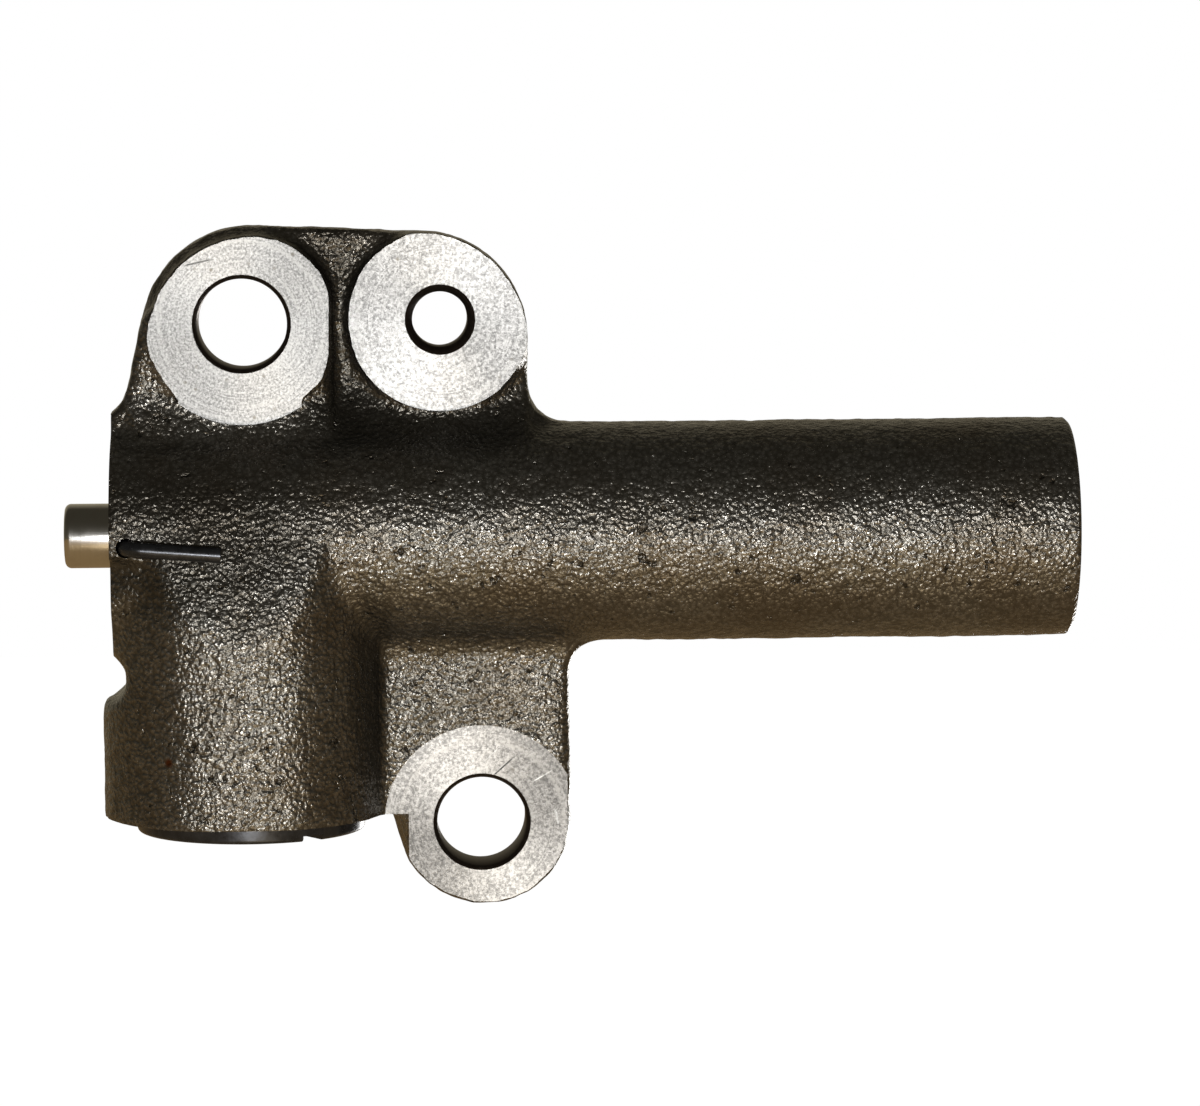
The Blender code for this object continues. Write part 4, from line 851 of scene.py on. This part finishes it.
def sort_faces(casting):
    """Gives each face the material of the plane or bore that it lies on, and sharpens the
    edges between two materials."""
    faces = ((UPPER_LEFT_HOLE, UPPER_LEFT_FACE_Y), (UPPER_RIGHT_HOLE, UPPER_RIGHT_FACE_Y),
             (LUG_HOLE, LUG_FACE_Y))
    mesh = casting.data
    for face in mesh.polygons:
        centre, normal = face.center, face.normal
        x_on, y_on, z_on = [abs(part) > FACE_ON for part in normal]
        slot = SKIN_SLOT
        for index, (hole, front) in enumerate(faces):
            away_from_hole = hypot(centre.x - hole[0], centre.z - hole[1])
            if y_on and abs(centre.y - front) < NEAR and away_from_hole < FACE_REACH:
                slot = index + 1
            elif (away_from_hole < BOLT_HOLE_RADIUS + BOLT_CHAMFER
                    and abs(normal.y) < SIDE_ON):
                slot = WALL_SLOT
        from_end = min(abs(centre.x - BARREL_LEFT), abs(centre.x - BARREL_RIGHT))
        if ((x_on and from_end < NEAR) or (y_on and abs(centre.y - MOUNTING_Y) < NEAR)
                or (z_on and abs(centre.z - RESERVOIR_BOTTOM) < NEAR)):
            slot = FLAT_SLOT
        in_barrel = hypot(centre.y, centre.z) < RING_GROOVE_RADIUS + NEAR and not x_on
        in_chamber = (hypot(centre.x - CHAMBER_X, centre.y) < PLUG_BORE_RADIUS + NEAR
                      and RESERVOIR_BOTTOM + NEAR < centre.z < CHAMBER_TOP + NEAR)
        if in_barrel or in_chamber:
            slot = WALL_SLOT
        face.material_index = slot
    slots_at = {}
    for face in mesh.polygons:
        for key in face.edge_keys:
            slots_at.setdefault(key, set()).add(face.material_index)
    for edge in mesh.edges:
        if len(slots_at[tuple(sorted(edge.vertices))]) > 1:
            edge.use_edge_sharp = True


def make_casting():
    """Fuses the blank, sinks the cast hollows, softens and roughens it, and machines it."""
    materials = [cast_skin_material()]
    materials += [machined_material(*face) for face in SPOT_FACES]
    materials += [machined_material("milled_flat", (0.0, 0.0), MILLED_FLAT, 0.5, ()),
                  bored_material()]
    casting = new_piece("body_casting", casting_blank(), materials)
    fuse(casting)
    cut_away(casting, cast_hollows())
    fuse(casting)
    soft = casting.modifiers.new("fillets", "SMOOTH")
    soft.factor = 0.5
    soft.iterations = SKIN_SMOOTHING
    applied(casting)
    roughen(casting.data)
    cut_away(casting, machining_shapes())
    casting.data.shade_smooth()
    casting.data.set_sharp_from_angle(angle=CAST_SHARP_EDGE)
    sort_faces(casting)
    return casting


casting = make_casting()
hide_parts("body")
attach(casting, "housing")

# Push rod. Ground and polished steel with a small rounded edge at its tip, and a blind hole
# across it for the pin, which is drilled longer than round so that the pin can leave it.
ROD_RADIUS = 3.95 * MM
ROD_EDGE = 0.75 * MM
ROD_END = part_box("rod")[1].x
PIN_RADIUS = 0.95 * MM
PIN_HOLE_DEPTH = 3.1 * MM
PIN_HOLE_LENGTH = 1.25 * MM        # how far its middle is drawn out
EDGE_STEPS = 6
STEEL_DARK = (0.56, 0.55, 0.53, 1)
STEEL_LIGHT = (0.72, 0.71, 0.69, 1)
STEEL_TINT = (0.42, 0.36, 0.29, 1)
GRINDING_BUMP = 0.006 * MM


def ground_steel_material():
    """Polished steel with fine rings from grinding and a faint brown tint of old oil."""
    shader = Shader("ground_steel")
    place = shader.place()
    split = shader.add("SeparateXYZ", place)
    along = shader.add("CombineXYZ", split.outputs[0], 0.0, 0.0).outputs[0]
    rings = shader.noise(along, 5200, 3.0, 0.7)
    smudge = shader.noise(place, 420, 3.0, 0.6)
    color = shader.mix(rings, STEEL_DARK, STEEL_LIGHT)
    color = shader.mix(shader.ramp(smudge, 0.5, 0.75, 0.0, 0.35), color, STEEL_TINT)
    rough = shader.ramp(smudge, 0.3, 0.7, 0.16, 0.27)
    return shader.finish(color, rough, 1.0, shader.bump(rings, GRINDING_BUMP))


def rounded(along, radius, size, outward):
    """Points of a rounded edge on a turned profile, from the end face to the side."""
    points = []
    for step in range(EDGE_STEPS + 1):
        turn = step / EDGE_STEPS * pi / 2
        points.append((along + outward * size * (1 - cos(turn)),
                       radius - size * (1 - sin(turn))))
    return points


rod_profile = ([(0, 0)] + rounded(0, ROD_RADIUS, ROD_EDGE, 1)
               + [(ROD_END, ROD_RADIUS), (ROD_END, 0)])
push_rod = new_piece("push_rod", turned(rod_profile), [ground_steel_material()])
pin_slot = bmesh.new()
slot_end = PIN_X + PIN_HOLE_LENGTH
add_plate_shape(pin_slot, arc((PIN_X, PIN_Z), PIN_HOLE_RADIUS, 90, 270)
                + arc((slot_end, PIN_Z), PIN_HOLE_RADIUS, -90, 90),
                -ROD_RADIUS - PAST, PIN_HOLE_DEPTH - ROD_RADIUS)
cut_away(push_rod, [pin_slot], "EXACT")
push_rod.data.set_sharp_from_angle(angle=SHARP_EDGE)
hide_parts("rod")
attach(push_rod, "push_rod")

# Stopper pin. Black spring wire, straight through the wall into the rod, then bent over and
# laid along the front of the casting. It is pulled out once the tensioner is bolted on.
PIN_BEND = 1.9 * MM
PIN_LEG_END = 19.4 * MM
PIN_DROOP = radians(4.3)
PIN_TIP_Y = -1.6 * MM
PIN_LEG_GAP = 0.3 * MM
PIN_LEG_Y = -(BARREL_RADIUS + PIN_LEG_GAP + PIN_RADIUS)
PIN_ROUND = 28
PIN_BEND_STEPS = 12
OXIDE_DARK = (0.018, 0.018, 0.02, 1)
OXIDE_LIGHT = (0.085, 0.09, 0.1, 1)
OXIDE_BUMP = 0.02 * MM


def black_oxide_material(name):
    """Steel blackened in a salt bath: near black with a blue-grey sheen, in uneven patches."""
    shader = Shader(name)
    place = shader.place()
    smudge = shader.noise(place, 700, 3.0, 0.6)
    color = shader.mix(smudge, OXIDE_DARK, OXIDE_LIGHT)
    rough = shader.ramp(smudge, 0.3, 0.7, 0.24, 0.36)
    return shader.finish(color, rough, 0.75, shader.bump(smudge, OXIDE_BUMP))


def stopper_pin_shape():
    """A disc drawn out straight, spun round the bend and drawn out along the leg."""
    shape = bmesh.new()
    place = Matrix.Translation((PIN_X, PIN_TIP_Y, PIN_Z)) @ turn_to(Y_AXIS)
    bmesh.ops.create_circle(shape, cap_ends=True, segments=PIN_ROUND, radius=PIN_RADIUS,
                            matrix=place)
    bend_start = PIN_LEG_Y + PIN_BEND
    end = draw_out(shape, shape.faces[:], (0, bend_start - PIN_TIP_Y, 0))
    along = Vector((cos(PIN_DROOP), 0, -sin(PIN_DROOP)))
    centre = Vector((PIN_X, bend_start, PIN_Z)) + along * PIN_BEND
    spun = bmesh.ops.spin(shape, geom=end, cent=centre, axis=along.cross(Y_AXIS), angle=pi / 2,
                          steps=PIN_BEND_STEPS)
    end = [item for item in spun["geom_last"] if isinstance(item, bmesh.types.BMFace)]
    leg = (PIN_LEG_END - PIN_X) / cos(PIN_DROOP) - PIN_BEND
    draw_out(shape, end, along * leg)
    bmesh.ops.remove_doubles(shape, verts=shape.verts, dist=MERGE)
    inside = [face for face in shape.faces
              if all(len(edge.link_faces) > 2 for edge in face.edges)]
    bmesh.ops.delete(shape, geom=inside, context="FACES_ONLY")
    return shape


stopper_pin = new_piece("stopper_pin_wire", stopper_pin_shape(),
                        [black_oxide_material("pin_black")])
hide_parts("stopper_pin")
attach(stopper_pin, "locking_pin")

# Reservoir plug. A turned plug, blackened, that closes the oil reservoir from below. Its rim
# stands a little out of the casting, with the end of a driver slot in it.
PLUG_TOP, PLUG_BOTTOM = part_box("reservoir_plug")[1].z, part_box("reservoir_plug")[0].z
PLUG_RADIUS = 14.0 * MM
PLUG_CHAMFER = 0.5 * MM
PLUG_SLOT_WIDTH = 2.9 * MM
PLUG_SLOT_DEPTH = 0.7 * MM
PLUG_SLOT_TURN = radians(-56)
PLUG_RECESS_RADIUS = 9.0 * MM
PLUG_RECESS_DEPTH = 3.5 * MM
PLUG_GROOVE_RADIUS = 11.6 * MM
PLUG_GROOVE_DROP = 2.4 * MM        # from the plug's top to the middle of its groove
PLUG_GROOVE_HALF = 1.3 * MM
PLUG_SHARP_EDGE = radians(35)

recess = PLUG_TOP - PLUG_RECESS_DEPTH
groove_top = PLUG_TOP - PLUG_GROOVE_DROP + PLUG_GROOVE_HALF
groove_bottom = PLUG_TOP - PLUG_GROOVE_DROP - PLUG_GROOVE_HALF
plug_profile = ([(recess, 0), (recess, PLUG_RECESS_RADIUS),
                 (PLUG_TOP, PLUG_RECESS_RADIUS), (PLUG_TOP, PLUG_RADIUS),
                 (groove_top, PLUG_RADIUS), (groove_top, PLUG_GROOVE_RADIUS),
                 (groove_bottom, PLUG_GROOVE_RADIUS), (groove_bottom, PLUG_RADIUS)]
                + rounded(PLUG_BOTTOM, PLUG_RADIUS, PLUG_CHAMFER, 1)[::-1] + [(PLUG_BOTTOM, 0)])
plug = new_piece("plug_turned", turned(plug_profile, Z_AXIS, (CHAMBER_X, 0, 0)),
                 [black_oxide_material("plug_black")])
driver_slot = bmesh.new()
add_box_shape(driver_slot, (-2 * PLUG_RADIUS, -PLUG_SLOT_WIDTH / 2, PLUG_BOTTOM - PAST),
              (2 * PLUG_RADIUS, PLUG_SLOT_WIDTH / 2, PLUG_BOTTOM + PLUG_SLOT_DEPTH))
bmesh.ops.transform(driver_slot, verts=driver_slot.verts,
                    matrix=Matrix.Translation((CHAMBER_X, 0, 0))
                    @ Matrix.Rotation(PLUG_SLOT_TURN, 4, "Z"))
cut_away(plug, [driver_slot], "EXACT")
plug.data.set_sharp_from_angle(angle=PLUG_SHARP_EDGE)
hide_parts("reservoir_plug")
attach(plug, "housing")


# Inner pieces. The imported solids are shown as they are, with a finish each: turned steel, a
# bronze guide bush, rubber seals and rings, and the piston's plastic ring.
def metal_material(name, dark, light, roughness):
    """Turned or drawn metal with fine marks, for the pieces inside."""
    shader = Shader(name)
    place = shader.place()
    marks = shader.noise(place, 2600, 3.0, 0.6)
    color = shader.mix(marks, (*dark, 1), (*light, 1))
    rough = shader.ramp(marks, 0.3, 0.7, roughness - 0.06, roughness + 0.08)
    return shader.finish(color, rough, 1.0, shader.bump(marks, 0.01 * MM))


def soft_material(name, dark, light, roughness):
    """Rubber or plastic, faintly uneven."""
    shader = Shader(name)
    marks = shader.noise(shader.place(), 1800, 3.0, 0.6)
    color = shader.mix(marks, (*dark, 1), (*light, 1))
    return shader.finish(color, roughness, 0.0, shader.bump(marks, 0.02 * MM))


turned_steel = metal_material("turned_steel", (0.38, 0.38, 0.39), (0.52, 0.52, 0.53), 0.3)
spring_wire = metal_material("spring_wire", (0.24, 0.24, 0.25), (0.36, 0.36, 0.38), 0.34)
guide_bronze = metal_material("guide_bronze", (0.42, 0.28, 0.14), (0.56, 0.4, 0.22), 0.36)
seal_rubber = soft_material("seal_rubber", (0.012, 0.012, 0.012), (0.03, 0.03, 0.03), 0.6)
ring_plastic = soft_material("ring_plastic", (0.66, 0.63, 0.56), (0.76, 0.73, 0.66), 0.5)
INNER_FINISHES = (
    (turned_steel, ("piston", "check_ball_cage", "end_plug", "reservoir_plunger",
                    "check_valve_seat", "check_ball")),
    (spring_wire, ("bush_circlip", "end_snap_ring")),
    (guide_bronze, ("rod_guide_bush",)),
    (seal_rubber, ("rod_seal", "end_plug_o_ring", "reservoir_plug_o_ring", "plunger_seal")),
    (ring_plastic, ("piston_wear_ring",)))
for finish, nodes in INNER_FINISHES:
    for node in nodes:
        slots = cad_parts[node].data.materials
        slots.clear()
        slots.append(finish)

# Springs. Each is a coil of drawn steel wire between two pieces that slide apart, with a closed
# turn at each end.
END_TURN = 3.1                     # length of a closed end turn, in wire radii

# Node, axis that it lies along, radius of its wire, and the bodies at its two ends.
SPRINGS = (("return_spring", 0, 1.0 * MM, "push_rod", "housing"),
           ("check_ball_spring", 0, 0.22 * MM, "valve_ball", "push_rod"),
           ("plunger_spring", 2, 0.7 * MM, "housing", "plunger"))

for node, axis, wire_radius, low_body, high_body in SPRINGS:
    shape = bmesh.new()
    shape.from_mesh(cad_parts[node].data)
    bmesh.ops.remove_doubles(shape, verts=shape.verts, dist=MERGE)
    spring = new_piece(node + "_wire", shape, [spring_wire])
    low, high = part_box(node)
    start, end = Vector(low), Vector(low)
    start[axis] = low[axis] + END_TURN * wire_radius
    end[axis] = high[axis] - END_TURN * wire_radius
    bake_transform(spring)
    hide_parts(node)
